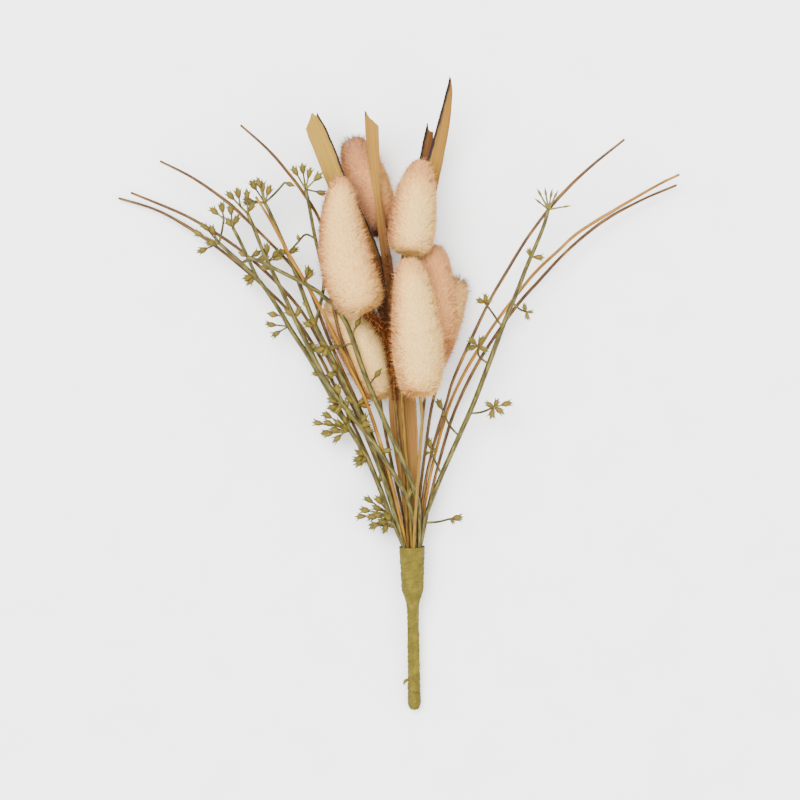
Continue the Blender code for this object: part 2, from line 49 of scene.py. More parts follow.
# %% [markdown]
# ## Places
#
# Every route was traced on an upright picture of the pick, as pixels across and down, with a height above the
# table in millimetres. The solids were made from the same points. To lay the fine pieces over them we only
# need to know where the traced mouth of the tape ended up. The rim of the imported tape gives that: its highest
# ring along Y is the mouth, and the far end of the tape gives the way the stem points. Measuring the frame is
# safer than writing the shift down, because it stays true if the solids are ever moved.

# %% Find the mouth of the tape
MM_PER_PIXEL = 267.0 / 636.0
PICTURE_MOUTH = (412.0, 547.0)
RIM_DEPTH = 2.0


def unit(vectors):
    """The same directions with a length of one."""
    return vectors / np.maximum(np.linalg.norm(vectors, axis=-1, keepdims=True), 1e-9)


def node_corners(name):
    """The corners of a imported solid, in millimetres, each once."""
    corners = np.array([vert.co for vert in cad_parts[name].data.vertices])
    return np.unique(np.round(corners / MM, 3), axis=0)


tape_corners = node_corners("tape_wrap")
MOUTH = tape_corners[tape_corners[:, 1] > tape_corners[:, 1].max() - RIM_DEPTH].mean(axis=0)
TAPE_END = tape_corners[tape_corners[:, 1].argmin()]
TAPE_DOWN = unit(TAPE_END - MOUTH)
print("mouth of the tape at", MOUTH.round(2), "and its end at", TAPE_END.round(2))


# %% From the picture to the table
def at(across, down, height):
    """A traced point, in millimetres on the table."""
    east = (across - PICTURE_MOUTH[0]) * MM_PER_PIXEL
    north = (PICTURE_MOUTH[1] - down) * MM_PER_PIXEL
    return np.array([MOUTH[0] + east, MOUTH[1] + north, height])


def traced(points):
    """A whole route of traced points."""
    return np.array([at(*point) for point in points])


# %% [markdown]
# ## Smooth lines
#
# A stem grows in one easy curve, so straight runs between traced points would look like bent wire. A
# Catmull-Rom curve is a good choice here because it passes through every traced point, which a Bezier with
# free handles doesn't. Each stem ends in a place of its own in the mouth of the tape, packed as in a
# honeycomb, and runs a few millimetres down the pocket.

# %% Curves through the traced points
SLOT_PITCH = 1.5
STEM_IN_POCKET = 4.0
FINE = 1.5


def smooth(knots, spacing=FINE):
    """Points about a spacing apart on a curve that passes through every knot."""
    knots = np.asarray(knots, float)
    ends = np.vstack([2 * knots[0] - knots[1], knots, 2 * knots[-1] - knots[-2]])
    line = []
    for before, start, end, after in zip(ends, ends[1:], ends[2:], ends[3:]):
        steps = max(1, round(np.linalg.norm(end - start) / spacing))
        t = (np.arange(steps) / steps)[:, None]
        line.append(
            start
            + 0.5 * t * (end - before)
            + 0.5 * t**2 * (2 * before - 5 * start + 4 * end - after)
            + 0.5 * t**3 * (3 * start - before - 3 * end + after)
        )
    return np.vstack([*line, knots[-1:]])


def slot(column, row):
    """A stem's own place in the mouth of the tape."""
    return MOUTH + SLOT_PITCH * np.array([column, 0, row * np.sqrt(3) / 2])


def to_mouth(points, column, row):
    """A fine line through the points, into the mouth and down the pocket."""
    entry = slot(column, row)
    return np.vstack([smooth([*points, entry]), entry + TAPE_DOWN * STEM_IN_POCKET])


def run_length(line):
    """How far along the line each of its points is."""
    return np.concatenate([[0], np.cumsum(np.linalg.norm(np.diff(line, axis=0), axis=1))])


def frames(line):
    """At each point of a line: the way it runs, the way to its side and the way up from it."""
    tangent = unit(np.gradient(line, axis=0))
    side = unit(np.cross(tangent, (0, 0, 1)))
    return tangent, side, np.cross(side, tangent)


# %% [markdown]
# ## Many small shapes in one mesh
#
# A spray has many rays and buds and a head has thousands of hairs. One Blender object for each would be
# hopeless, and instances are lost when the model is exported. So a Sheaf gathers the points and faces of
# many small shapes in numpy and hands them to Blender as one mesh. It also keeps named values at the
# points, such as how far along a stem a point is, and the finishes read them as attributes.

# %% The Sheaf
class Sheaf:
    """Gathers small shapes, in millimetres, into one mesh."""

    def __init__(self):
        self.points = []
        self.faces = []
        self.values = {}
        self.count = 0

    def add(self, points, faces, **values):
        """Adds one shape. Faces is a list of arrays, one for each number of sides."""
        points = np.asarray(points, float).reshape(-1, 3)
        self.points.append(points)
        self.faces += [np.asarray(block, int) + self.count for block in faces if len(block)]
        for key, value in values.items():
            shape = (len(points), 3) if key == "grain" else (len(points),)
            self.values.setdefault(key, []).append(np.broadcast_to(np.asarray(value, float), shape))
        self.count += len(points)

    def triangles(self):
        return sum(len(block) * (block.shape[1] - 2) for block in self.faces)


# %% From a sheaf to a mesh
def mesh_of(name, sheaf):
    """A smooth-shaded Blender mesh with the sheaf's values as attributes."""
    mesh = bpy.data.meshes.new(name)
    points = np.vstack(sheaf.points) * MM
    corners = np.concatenate([block.ravel() for block in sheaf.faces])
    sides = np.concatenate([np.full(len(block), block.shape[1]) for block in sheaf.faces])
    mesh.vertices.add(len(points))
    mesh.vertices.foreach_set("co", points.ravel().astype(np.float32))
    mesh.loops.add(len(corners))
    mesh.loops.foreach_set("vertex_index", corners.astype(np.int32))
    mesh.polygons.add(len(sides))
    mesh.polygons.foreach_set("loop_start", (np.cumsum(sides) - sides).astype(np.int32))
    mesh.update(calc_edges=True)
    for key, blocks in sheaf.values.items():
        held = np.concatenate(blocks).astype(np.float32)
        if held.ndim == 2:
            mesh.attributes.new(key, "FLOAT_VECTOR", "POINT").data.foreach_set("vector", held.ravel())
        else:
            mesh.attributes.new(key, "FLOAT", "POINT").data.foreach_set("value", held)
    mesh.shade_smooth()
    return mesh


# %% Put a piece in the scene
def piece(name, sheaf, finish, slot_name, *nodes):
    """One piece of the pick: it rides with the bunch and stands for the solids that are named."""
    obj = bpy.data.objects.new(name, mesh_of(name, sheaf))
    obj.data.materials.append(finish)
    bpy.context.scene.collection.objects.link(obj)
    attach(obj, "root")
    if nodes:
        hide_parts(*nodes)
    print(f"{name}: {sheaf.triangles()} triangles")
    return obj


# %% [markdown]
# ## Round stems
#
# Stems, stalks and rays are all round and thin. A bevelled curve would do, but a tube made here can also
# carry its grain: the place of each point on an unbent, slightly twisted copy of the stem. A noise read there
# runs along the stem in streaks, however the stem bends.

# %% Faces between rings of points
def ring_quads(rows, sides):
    """The faces between rows of points that each run once round a shape."""
    row, column = np.meshgrid(np.arange(rows - 1), np.arange(sides), indexing="ij")
    first = row * sides + column
    second = row * sides + (column + 1) % sides
    return np.stack([first, first + sides, second + sides, second], -1).reshape(-1, 4)


def ring_lids(rows, sides):
    """A lid on the first ring of points and one on the last."""
    ring = np.arange(sides)
    return [ring[None], (ring[::-1] + (rows - 1) * sides)[None]]


# %% A tube with grain
def tube(sheaf, line, radii, sides=8, tone=0.0, part=0.0, twist=0.0):
    """A closed round stem. Radii is one number, or one for each point, or one for each point and side."""
    line = np.asarray(line, float)
    tangent, side, up = frames(line)
    turn = np.arange(sides) * 2 * np.pi / sides
    outwards = side[:, None] * np.cos(turn)[:, None] + up[:, None] * np.sin(turn)[:, None]
    radii = np.asarray(radii, float)
    radii = radii[:, None] if radii.ndim == 1 else radii
    radii = np.broadcast_to(radii, (len(line), sides))
    walls = line[:, None] + outwards * radii[..., None]
    along = run_length(line)[:, None]
    turned = turn[None] + twist * along
    grain = np.stack([np.cos(turned), np.sin(turned), np.broadcast_to(along, turned.shape)], -1)
    rows = len(line)
    start_point = rows * sides
    ring = np.arange(sides)
    following = (ring + 1) % sides
    last_ring = (rows - 1) * sides
    start_cap = np.stack([np.full(sides, start_point), ring, following], -1)
    end_cap = np.stack([np.full(sides, start_point + 1), last_ring + following, last_ring + ring], -1)
    ends = np.array([[0, 0, along[0, 0]], [0, 0, along[-1, 0]]])
    sheaf.add(
        np.vstack([walls.reshape(-1, 3), line[:1], line[-1:]]),
        [ring_quads(rows, sides), np.vstack([start_cap, end_cap])],
        grain=np.vstack([grain.reshape(-1, 3), ends]),
        tone=tone,
        part=part,
    )


# %% [markdown]
# ## Shader maths in Python
#
# A finish is a small graph of nodes. Wiring it by hand takes many lines, so one class wraps a socket and
# gives it Python's operators: `1 - mask` adds the Math node that it stands for. Colours go through Mix
# nodes, because a Math node would turn them grey. Every other node comes from one method, `node`.

# %% Sockets with operators
class Wire:
    """An output socket that can be used in expressions."""

    def __init__(self, finish, socket):
        self.finish = finish
        self.socket = socket

    def maths(self, operation, first, second):
        return self.finish.node("Math", {"operation": operation}, {0: first, 1: second})

    def __add__(self, other):
        return self.maths("ADD", self, other)

    def __sub__(self, other):
        return self.maths("SUBTRACT", self, other)

    def __rsub__(self, other):
        return self.maths("SUBTRACT", other, self)

    def __mul__(self, other):
        return self.maths("MULTIPLY", self, other)

    __radd__ = __add__
    __rmul__ = __mul__


# %% Colours
def srgb(red, green, blue):
    """A colour as a picture gives it, 0 to 255, turned to the linear light that shaders use."""
    share = np.array([red, green, blue]) / 255
    linear = np.where(share <= 0.04045, share / 12.92, ((share + 0.055) / 1.055) ** 2.4)
    return (*(float(part) for part in linear), 1.0)


# %% A finish
class Finish:
    """A material with one Principled shader, and the means to wire it."""

    def __init__(self, name, **constants):
        self.material = bpy.data.materials.new(name)
        self.material.use_nodes = True
        self.tree = self.material.node_tree
        self.shader = self.tree.nodes["Principled BSDF"]
        for key, value in constants.items():
            self.shader.inputs[key.replace("_", " ")].default_value = value

    def node(self, kind, settings, sockets, output=0):
        """Adds a node: its settings, then the values or links of its sockets. Gives one of its outputs."""
        made = self.tree.nodes.new("ShaderNode" + kind)
        for key, value in settings.items():
            if key == "stops":
                self.set_stops(made.color_ramp, value)
            else:
                setattr(made, key, value)
        for key, value in sockets.items():
            if isinstance(value, Wire):
                self.tree.links.new(value.socket, made.inputs[key])
            else:
                made.inputs[key].default_value = value
        return Wire(self, made.outputs[output])

    def set_stops(self, ramp, stops):
        """Sets a ramp's colours from a list of (place, colour)."""
        while len(ramp.elements) < len(stops):
            ramp.elements.new(0.5)
        for element, (place, colour) in zip(ramp.elements, stops):
            element.position = place
            element.color = colour

    def held(self, name, output="Fac"):
        """A value that the mesh carries at its points."""
        return self.node("Attribute", {"attribute_name": name}, {}, output)

    def ramp(self, factor, *stops):
        return self.node("ValToRGB", {"stops": stops}, {"Fac": factor})

    def mix(self, factor, first, second, blend="MIX"):
        settings = {"data_type": "RGBA", "blend_type": blend}
        return self.node("Mix", settings, {0: factor, 6: first, 7: second}, 2)

    def stretched(self, vector, *scale):
        return self.node("VectorMath", {"operation": "MULTIPLY"}, {0: vector, 1: scale})

    def noise(self, vector, scale, detail=3.0, roughness=0.5):
        sockets = {"Vector": vector, "Scale": scale, "Detail": detail, "Roughness": roughness}
        return self.node("TexNoise", {}, sockets)

    def clear_range(self, value, low, high):
        """Zero below low, one above high and smooth between them."""
        sockets = {"Value": value, 1: low, 2: high}
        return self.node("MapRange", {"interpolation_type": "SMOOTHSTEP"}, sockets)

    def raised(self, height, distance):
        """The normal of a surface with this fine relief, its depth in millimetres."""
        return self.node("Bump", {}, {"Strength": 1.0, "Distance": distance * MM, "Height": height})

    def feed(self, **sockets):
        """Links wires to the shader's own sockets and gives the material."""
        for key, wire in sockets.items():
            self.tree.links.new(wire.socket, self.shader.inputs[key.replace("_", " ")])
        return self.material


# %% [markdown]
# ## Light, table and camera
#
# The picture is a flat, shadowless studio shot, so the light is two very large soft boxes and a pale sky.
# The pick is upright in the picture, but a bunch with no vase lies down, so the camera hangs straight above
# it with the heads at the top of the frame. A long lens far away keeps the outlines as flat as in the
# picture.

# %% Camera from above
LENS = 300.0
SENSOR = 36.0
PICTURE_WIDTH = 800.0
PICTURE_CENTRE = (400.0, 400.0)
AIM_HEIGHT = 18.0

camera_data = bpy.data.cameras.new("view_from_above")
camera_data.lens = LENS
camera_data.sensor_width = SENSOR
camera = bpy.data.objects.new("view_from_above", camera_data)
bpy.context.scene.collection.objects.link(camera)
aim = at(*PICTURE_CENTRE, AIM_HEIGHT)
distance = PICTURE_WIDTH * MM_PER_PIXEL * LENS / SENSOR
camera.location = (aim[0] * MM, aim[1] * MM, (aim[2] + distance) * MM)
bpy.context.scene.camera = camera
print(f"camera {distance:.0f} mm above the pick")


# %% Soft light
KEY_PLACE, KEY_SIZE, KEY_POWER = (-0.8, 0.8, 3.2), 2.4, 300.0
FILL_PLACE, FILL_SIZE, FILL_POWER = (1.6, -0.8, 2.4), 2.0, 70.0
SKY_STRENGTH = 1.9


def soft_box(name, place, size, power):
    """A square soft light that faces the pick. Place and size are in metres and power is in watts."""
    light = bpy.data.lights.new(name, "AREA")
    light.size = size
    light.energy = power
    box = bpy.data.objects.new(name, light)
    box.location = place
    box.rotation_euler = Vector(place).to_track_quat("Z", "Y").to_euler()
    bpy.context.scene.collection.objects.link(box)


soft_box("key_light", KEY_PLACE, KEY_SIZE, KEY_POWER)
soft_box("fill_light", FILL_PLACE, FILL_SIZE, FILL_POWER)
sky = bpy.data.worlds.new("pale_sky")
sky.use_nodes = True
sky_light = sky.node_tree.nodes["Background"]
sky_light.inputs["Color"].default_value = (1.0, 1.0, 1.0, 1.0)
sky_light.inputs["Strength"].default_value = SKY_STRENGTH
bpy.context.scene.world = sky
print(f"light: key {KEY_POWER} W, fill {FILL_POWER} W, sky {SKY_STRENGTH}")

# %% The table
TABLE_SIDE = 8.0
table_finish = Finish("pale_table", Roughness=0.9)
table_place = table_finish.node("TexCoord", {}, {}, "Object")
table_speck = table_finish.noise(table_place, 40.0, 4.0)
table_colour = table_finish.ramp(table_speck, (0.3, srgb(246, 246, 246)), (0.7, srgb(250, 250, 250)))
bpy.ops.mesh.primitive_plane_add(size=TABLE_SIDE)
table = bpy.context.object
table.name = "table"
table.data.materials.append(table_finish.feed(Base_Color=table_colour))


# %% [markdown]
# ## Bunny tails
#
# Each head is an egg-shaped brush: thousands of soft hairs, about two millimetres long, that stand off a
# narrow core and lean towards the tip. A fuzzy texture on a smooth egg looks painted, and hair particles
# don't survive the export, so every hair here is a real blade of three triangles. The body is a bent axis
# with a radius that swells and shrinks by one formula, the same that made the solid. The hairs start under
# that skin and end on it or just past it.

# %% Routes of the bunny tails
TAILS = {
    "bunny_tail_front_left": dict(
        axis=[
            (341, 178, 33), (341, 222, 33), (348, 270, 33), (367, 313, 32.5),
        ],
        stem=[
            (379, 325, 30.5), (389, 343, 27), (394, 388, 21.5), (398, 430, 18.8), (404, 480, 16.6),
        ],
        radius=11.3, taper=0.75, column=-1, row=2,
    ),
    "bunny_tail_back_left": dict(
        axis=[
            (351, 138, 9.5), (361, 165, 9.5), (372, 200, 9.5), (381, 235, 9.5),
        ],
        stem=[
            (390, 270, 9.8), (394, 310, 9.6), (397, 355, 9.6), (397, 400, 9.6), (401, 460, 8.9),
        ],
        radius=9.5, taper=0.2, column=0.5, row=-3, rests=True,
    ),
    "bunny_tail_top_right": dict(
        axis=[
            (422, 161, 29), (416, 195, 29), (412, 228, 29), (410, 256, 29),
        ],
        stem=[
            (407, 280, 25.6), (403, 315, 24.4), (401, 355, 22.8), (402, 400, 20.8), (405, 445, 18.3),
            (409, 495, 15.8),
        ],
        radius=9.8, taper=0.62, column=0, row=2,
    ),
    "bunny_tail_low_left": dict(
        axis=[
            (336, 294, 10), (352, 326, 10), (367, 354, 10), (375, 378, 10), (380, 400, 10),
        ],
        stem=[
            (384, 425, 9.6), (391, 460, 8.8), (401, 505, 7.8),
        ],
        radius=10.5, taper=-0.1, column=-0.5, row=-3, rests=True,
    ),
    "bunny_tail_front_right": dict(
        axis=[
            (408, 259, 40), (412, 290, 40), (416, 330, 40), (419, 365, 40), (420, 397, 39.5),
        ],
        stem=[
            (422, 420, 34.8), (420, 450, 30), (418, 480, 25.4), (415.5, 512, 20.4),
        ],
        radius=10.6, taper=0.42, column=0.5, row=3,
    ),
    "bunny_tail_mid_right": dict(
        axis=[
            (433, 246, 18), (434, 280, 21.8), (438, 315, 23.2), (443, 345, 23),
        ],
        stem=[
            (441, 370, 21.8), (432, 405, 20), (426, 445, 17.6), (420, 495, 14.8),
        ],
        radius=8.4, taper=0.1, column=1.5, row=1,
    ),
    "bunny_tail_back_right": dict(
        axis=[
            (461, 279, 7.3), (449, 308, 7.3), (438, 340, 7.3), (428, 373, 7.3),
        ],
        stem=[
            (424, 405, 7.8), (420, 450, 8), (416, 500, 8.2),
        ],
        radius=7.3, taper=0.1, column=1, row=-2, rests=True,
    ),
}


# %% The body of a head
class Body:
    """The skin of a head: a radius that swells along a bent axis, from the tip, share 0, to the base, 1."""

    ROUNDNESS = 0.6
    AXIS_SPACING = 4.0
    NEAR = 0.05

    def __init__(self, axis, radius, taper, rests=False):
        self.line = smooth(traced(axis), self.AXIS_SPACING)
        self.taper = taper
        self.radius = radius / self.fullness(np.linspace(0, 1, 101)).max()
        self.length = run_length(self.line)[-1]
        if rests:
            skin = self.skin(np.repeat(np.linspace(0, 1, 60), 36), np.tile(np.arange(36) * np.pi / 18, 60))
            self.line = self.line - np.array([0, 0, skin[0][:, 2].min()])

    def fullness(self, share):
        return (4 * share * (1 - share)) ** (self.ROUNDNESS / 2) * (1 + self.taper * (share - 0.5))

    def centre(self, share):
        place = np.clip(share, 0, 1) * (len(self.line) - 1)
        return np.stack([np.interp(place, np.arange(len(self.line)), part) for part in self.line.T], -1)

    def reach(self, share):
        return self.radius * self.fullness(np.clip(share, 0, 1))

    def skin(self, share, turn):
        """Points on the skin, the way off it, the way along the axis and the way round it."""
        tangent = unit(self.centre(share + self.NEAR) - self.centre(share - self.NEAR))
        side = unit(np.cross(tangent, (0, 0, 1)))
        up = np.cross(side, tangent)
        out = side * np.cos(turn)[..., None] + up * np.sin(turn)[..., None]
        step = 0.002
        slope = (self.reach(share + step) - self.reach(share - step)) / (2 * step * self.length)
        off = unit(out - tangent * slope[..., None])
        return self.centre(share) + out * self.reach(share)[..., None], off, tangent, np.cross(tangent, out)

    def spread(self, count):
        """Shares and turns of this many places spread evenly over the skin, and the area of the skin."""
        share = (1 - np.cos(np.linspace(0, np.pi, 800))) / 2
        middle = (share[1:] + share[:-1]) / 2
        run = np.hypot(np.diff(share) * self.length, np.diff(self.reach(share)))
        band = 2 * np.pi * self.reach(middle) * run
        total = np.concatenate([[0], np.cumsum(band)])
        place = (np.arange(count) + 0.5) / count * total[-1]
        golden_turn = np.pi * (3 - np.sqrt(5))
        return np.interp(place, total, share), np.arange(count) * golden_turn, total[-1]


bodies = {
    name: Body(way["axis"], way["radius"], way["taper"], way.get("rests", False))
    for name, way in TAILS.items()
}
skin_area = sum(body.spread(1)[2] for body in bodies.values())
print(f"the seven heads have {skin_area:.0f} square mm of skin")

# %% [markdown]
# The heads are a soft peach that varies in patches. Four are mostly cream and three are pinker. The flanks
# and most of the tips are pink or rose, and a few spots are brown. Pale patches where a head faces the camera
# are painted light, the brown spots are painted shade under the bases of heads, and the pink, rose and mauve
# down the flanks are partly the fur's own colour and partly painted shade. One ramp holds all of these tones
# in a row, with cream in the middle, so a patch can drift towards mauve on one side or towards brown on the
# other and never pass through a colour that the fur doesn't have. A hair's place on the ramp is its U, and V
# runs from its root to its tip; the finish darkens the root end as painted shade deep in the coat. The finish
# reads only that map, so hairs may share the same part of it and still bake cleanly.

# %% Fur tones
GREY, MAUVE, ROSE, PINK, BLUSH, CREAM, PALE, TAN, ORANGE, BROWN, RUST = (
    0.0, 0.08, 0.2, 0.34, 0.46, 0.58, 0.68, 0.76, 0.84, 0.91, 1.0,
)
FUR_STOPS = (
    (GREY, srgb(104, 98, 96)),
    (MAUVE, srgb(140, 104, 86)),
    (ROSE, srgb(184, 130, 90)),
    (PINK, srgb(216, 154, 98)),
    (BLUSH, srgb(240, 190, 118)),
    (CREAM, srgb(254, 218, 136)),
    (PALE, srgb(255, 234, 160)),
    (TAN, srgb(216, 152, 84)),
    (ORANGE, srgb(178, 106, 46)),
    (BROWN, srgb(92, 48, 20)),
    (RUST, srgb(40, 15, 5)),
)
# Painted shade: each hair is darker towards its root, for the shade deep in the coat.
PAINTED_ROOT_SHADE_STOPS = (
    (0.0, (0.6, 0.48, 0.42, 1.0)),
    (0.4, (0.86, 0.8, 0.76, 1.0)),
    (1.0, (1.0, 1.0, 1.0, 1.0)),
)

# %% Fur finishes
fur = Finish("peach_fur", Roughness=0.95, Specular_IOR_Level=0.1)
fur_map = fur.node("UVMap", {"uv_map": "OFBake"}, {})
fur_tone = fur.node("SeparateXYZ", {}, {0: fur_map}, 0)
fur_height = fur.node("SeparateXYZ", {}, {0: fur_map}, 1)
fur_colour = fur.mix(1.0, fur.ramp(fur_tone, *FUR_STOPS), fur.ramp(fur_height, *PAINTED_ROOT_SHADE_STOPS), "MULTIPLY")
fur_finish = fur.feed(Base_Color=fur_colour)

under = Finish("peach_underfur", Roughness=0.95, Specular_IOR_Level=0.1)
under_tone = under.held("tone")
under_speck = under.noise(under.held("grain", "Vector"), 1.6, 4.0)
# Painted shade: the underfur is darkened like the roots of the hairs, with a random speck through it.
underfur_painted_shade = under.ramp(under_speck, (0.3, (0.6, 0.5, 0.44, 1.0)), (0.7, (0.85, 0.8, 0.76, 1.0)))
under_colour = under.mix(1.0, under.ramp(under_tone, *FUR_STOPS), underfur_painted_shade, "MULTIPLY")
underfur_finish = under.feed(Base_Color=under_colour)

# %% Where each head changes tone
# Each patch is: the tone, how much of it, the share of the way from tip to base, how far it spreads along,
# the turn that it faces (0 is the picture's left, 90 towards the camera, 180 the right) and how far it
# spreads round, in degrees.
# The pale patches that face the camera are painted light. The brown patches that face down at the bases of the
# front left and top right heads, and the brown patch on the low left head near its tip, under the base of the
# front left head, are painted shade. The mauve, rose and pink on the flanks are partly the fur's own colour and
# partly painted shade.
TONE_AND_PAINTED_LIGHT_PATCHES = {
    "bunny_tail_front_left": (CREAM, [
        (PINK, 0.9, 0.45, 0.7, 178, 38), (ROSE, 0.95, 0.3, 0.4, 5, 36), (ROSE, 0.7, 0.0, 0.08, 90, 180),
        (BROWN, 0.7, 0.97, 0.1, 270, 70), (MAUVE, 0.5, 0.8, 0.3, 0, 30),
    ]),
    "bunny_tail_back_left": (PINK + 0.02, [
        (MAUVE, 0.8, 0.62, 0.4, 62, 26), (BLUSH, 0.95, 0.5, 0.5, 150, 65),
        (ROSE, 0.9, 0.08, 0.2, 90, 180), (MAUVE, 0.9, 1.0, 0.2, 90, 180),
    ]),
    "bunny_tail_top_right": (CREAM, [
        (ROSE, 0.75, 0.65, 0.4, 12, 46), (PINK, 0.95, 0.08, 0.2, 90, 180), (PINK, 0.6, 0.6, 0.5, 180, 32),
        (PALE, 0.7, 0.7, 0.3, 105, 45), (BROWN, 0.7, 1.0, 0.1, 270, 60),
    ]),
    "bunny_tail_low_left": (CREAM, [
        (ROSE, 0.85, 0.5, 0.6, 5, 42), (PALE, 0.8, 0.6, 0.5, 125, 45), (BROWN, 1.0, 0.14, 0.08, 105, 90),
        (ROSE, 0.5, 0.3, 0.4, 178, 26),
    ]),
    "bunny_tail_front_right": (CREAM + 0.02, [
        (ROSE, 0.7, 0.4, 0.6, 12, 38), (PINK, 0.7, 0.04, 0.1, 90, 180), (PALE, 0.5, 0.6, 0.4, 100, 45),
        (PINK, 0.5, 0.6, 0.5, 180, 28), (ROSE, 0.5, 1.0, 0.06, 20, 50),
    ]),
    "bunny_tail_mid_right": (PINK + 0.06, [
        (ROSE, 0.5, 0.05, 0.25, 90, 120), (ROSE, 0.6, 0.5, 0.5, 60, 35),
    ]),
    "bunny_tail_back_right": (PINK, [
        (ORANGE, 0.45, 0.3, 0.4, 90, 120), (ROSE, 0.5, 0.9, 0.3, 90, 120),
    ]),
}


def fur_tones_and_painted_light(name, share, turn):
    """The place on the fur ramp at each place of a head."""
    body_tone, patches = TONE_AND_PAINTED_LIGHT_PATCHES[name]
    tone = np.full(np.shape(share), body_tone)
    for patch, amount, along, along_spread, facing, facing_spread in patches:
        away = (np.degrees(turn) - facing + 180) % 360 - 180
        weight = amount * np.exp(-((share - along) / along_spread) ** 2 - (away / facing_spread) ** 2)
        tone = tone + (patch - tone) * weight
    return tone


# %% [markdown]
# A hair is planted a little under the skin, at a place from a golden-angle spiral, which spreads places as
# evenly as the seeds of a sunflower. Its blade faces outwards, and its shading normal is mostly the body's
# own, so the coat takes the light as one soft form and not as glitter. A few hairs are longer and finer:
# they make the fringe that blurs the outline.
#
# A perfectly even coat would look like a toy. Here and there the hairs lean together and stand up in a small
# tuft, and the tips of three heads are shaggy with long grey awns.

# %% Tufts
HAIRS_TO_A_TUFT = 200
FEWEST_TUFTS = 6
TUFT_RADIUS = 0.7
TUFT_RISE = 0.6


def tufts(place, rng):
    """How strongly each hair belongs to a raised tuft, and the way round the head that its tuft leans."""
    centres = place[rng.integers(0, len(place), max(FEWEST_TUFTS, len(place) // HAIRS_TO_A_TUFT))]
    strength = rng.uniform(0.3, 1.0, len(centres))
    leaning = rng.normal(0, 0.6, len(centres))
    tuft = np.zeros(len(place))
    sway = np.zeros(len(place))
    for centre, power, way in zip(centres, strength, leaning):
        near = power * np.exp(-((place - centre) ** 2).sum(-1) / TUFT_RADIUS**2)
        tuft = np.maximum(tuft, near)
        sway += near * way
    return tuft, sway


# %% The coat of one head
HAIRS_TO_A_SQUARE_MM = 13.0
FUR_DEPTH = 1.5
HAIR_WIDTH = 0.17
LONG_HAIR_SHARE = 0.09
LONG_HAIR_EXTRA = (0.4, 1.9)
LONG_HAIR_WIDTH = 0.75
# Painted shade: a share of the hairs is shifted to darker tones, for the small shadows between hairs.
SHADOW_SPECK_HAIR_SHARE = 0.1
SHADOW_SPECK_TONE_SHIFT = 0.24
AWN_EXTRA = (0, 1.6)
AWN_REACH = 0.07
# The share of the hairs at the tip of a head that are long grey awns.
SHAGGY_TIPS = {"bunny_tail_back_left": 0.14, "bunny_tail_back_right": 0.22, "bunny_tail_mid_right": 0.06}


def grow_fur(name, body, rng):
    """The hairs of one head: their points, faces, map and normals."""
    count = int(body.spread(1)[2] * HAIRS_TO_A_SQUARE_MM)
    share, turn, _ = body.spread(count)
    turn = turn + rng.normal(0, 0.02, count)
    share = np.clip(share + rng.normal(0, 0.002, count), 0.0005, 0.9995)
    place, off, tangent, around = body.skin(share, turn)
    awn = rng.random(count) < SHAGGY_TIPS.get(name, 0) * np.exp(-((share / AWN_REACH) ** 2))
    long_hair = (rng.random(count) < LONG_HAIR_SHARE) | awn
    tuft, tuft_sway = tufts(place, rng)
    lean = rng.normal(0.55, 0.25, count) * np.where(long_hair, 0.5, 1.0)
    sway = rng.normal(0, 0.35, count) * (1 - 0.6 * tuft) + tuft_sway
    way = unit(off - tangent * lean[:, None] + around * sway[:, None])
    rise = FUR_DEPTH + rng.normal(0.2, 0.15, count) + tuft * rng.uniform(0.1, TUFT_RISE, count)
    rise = rise + np.where(long_hair, rng.uniform(*LONG_HAIR_EXTRA, count), 0)
    rise = rise + np.where(awn, rng.uniform(*AWN_EXTRA, count), 0)
    length = rise / np.maximum((way * off).sum(-1), 0.35)
    # Painted shade: these darker hairs stand for small shadows in the coat.
    dark = rng.random(count) < SHADOW_SPECK_HAIR_SHARE
    width = HAIR_WIDTH * rng.uniform(0.75, 1.2, count) * np.where(long_hair, LONG_HAIR_WIDTH, 1.0)
    tone = fur_tones_and_painted_light(name, share, turn) + rng.normal(0, 0.045, count) - SHADOW_SPECK_TONE_SHIFT * dark
    tone = np.where(awn, rng.uniform(0.0, 0.12, count), np.clip(tone, MAUVE, BROWN))
    return blades(place - off * FUR_DEPTH, way, off, length, width, tone, rng)


# %% Blades
NORMAL_FROM_BODY = 0.8
# No point of a hair is lower than this, in mm, so the table cuts none of them.
LOWEST = 0.03


def blades(root, way, off, length, width, tone, rng):
    """Thin pointed blades of three triangles: their points, faces, bake map and soft normals."""
    count = len(root)
    tip = root + way * length[:, None]
    middle = root + way * (0.55 * length)[:, None] + off * 0.12
    across = unit(np.cross(off, way) + rng.normal(0, 0.25, (count, 3)))
    across = unit(across - way * (across * way).sum(-1)[:, None])
    half = across * (width / 2)[:, None]
    points = np.stack([root - half, root + half, middle + half * 0.8, middle - half * 0.8, tip], 1)
    facing = np.cross(points[:, 1] - points[:, 0], points[:, 3] - points[:, 0])
    inward = (facing * off).sum(-1) < 0
    points[inward] = points[inward][:, [1, 0, 3, 2, 4]]
    points[..., 2] = np.maximum(points[..., 2], LOWEST)
    own_normal = unit(np.cross(half, way)) * np.where(inward, -1, 1)[:, None]
    normal = unit(NORMAL_FROM_BODY * off + (1 - NORMAL_FROM_BODY) * own_normal)
    first = np.arange(count)[:, None] * 5
    quads = first + np.array([[0, 1, 2, 3]])
    tips = first + np.array([[3, 2, 4]])
    step = 0.006
    across_map = np.clip(tone, 0.01, 0.985)[:, None] + np.array([-step, step, step, -step, 0])
    up_map = np.broadcast_to([0.02, 0.02, 0.55, 0.55, 0.98], (count, 5))
    return points.reshape(-1, 3), [quads, tips], np.stack([across_map, up_map], -1).reshape(-1, 2), normal


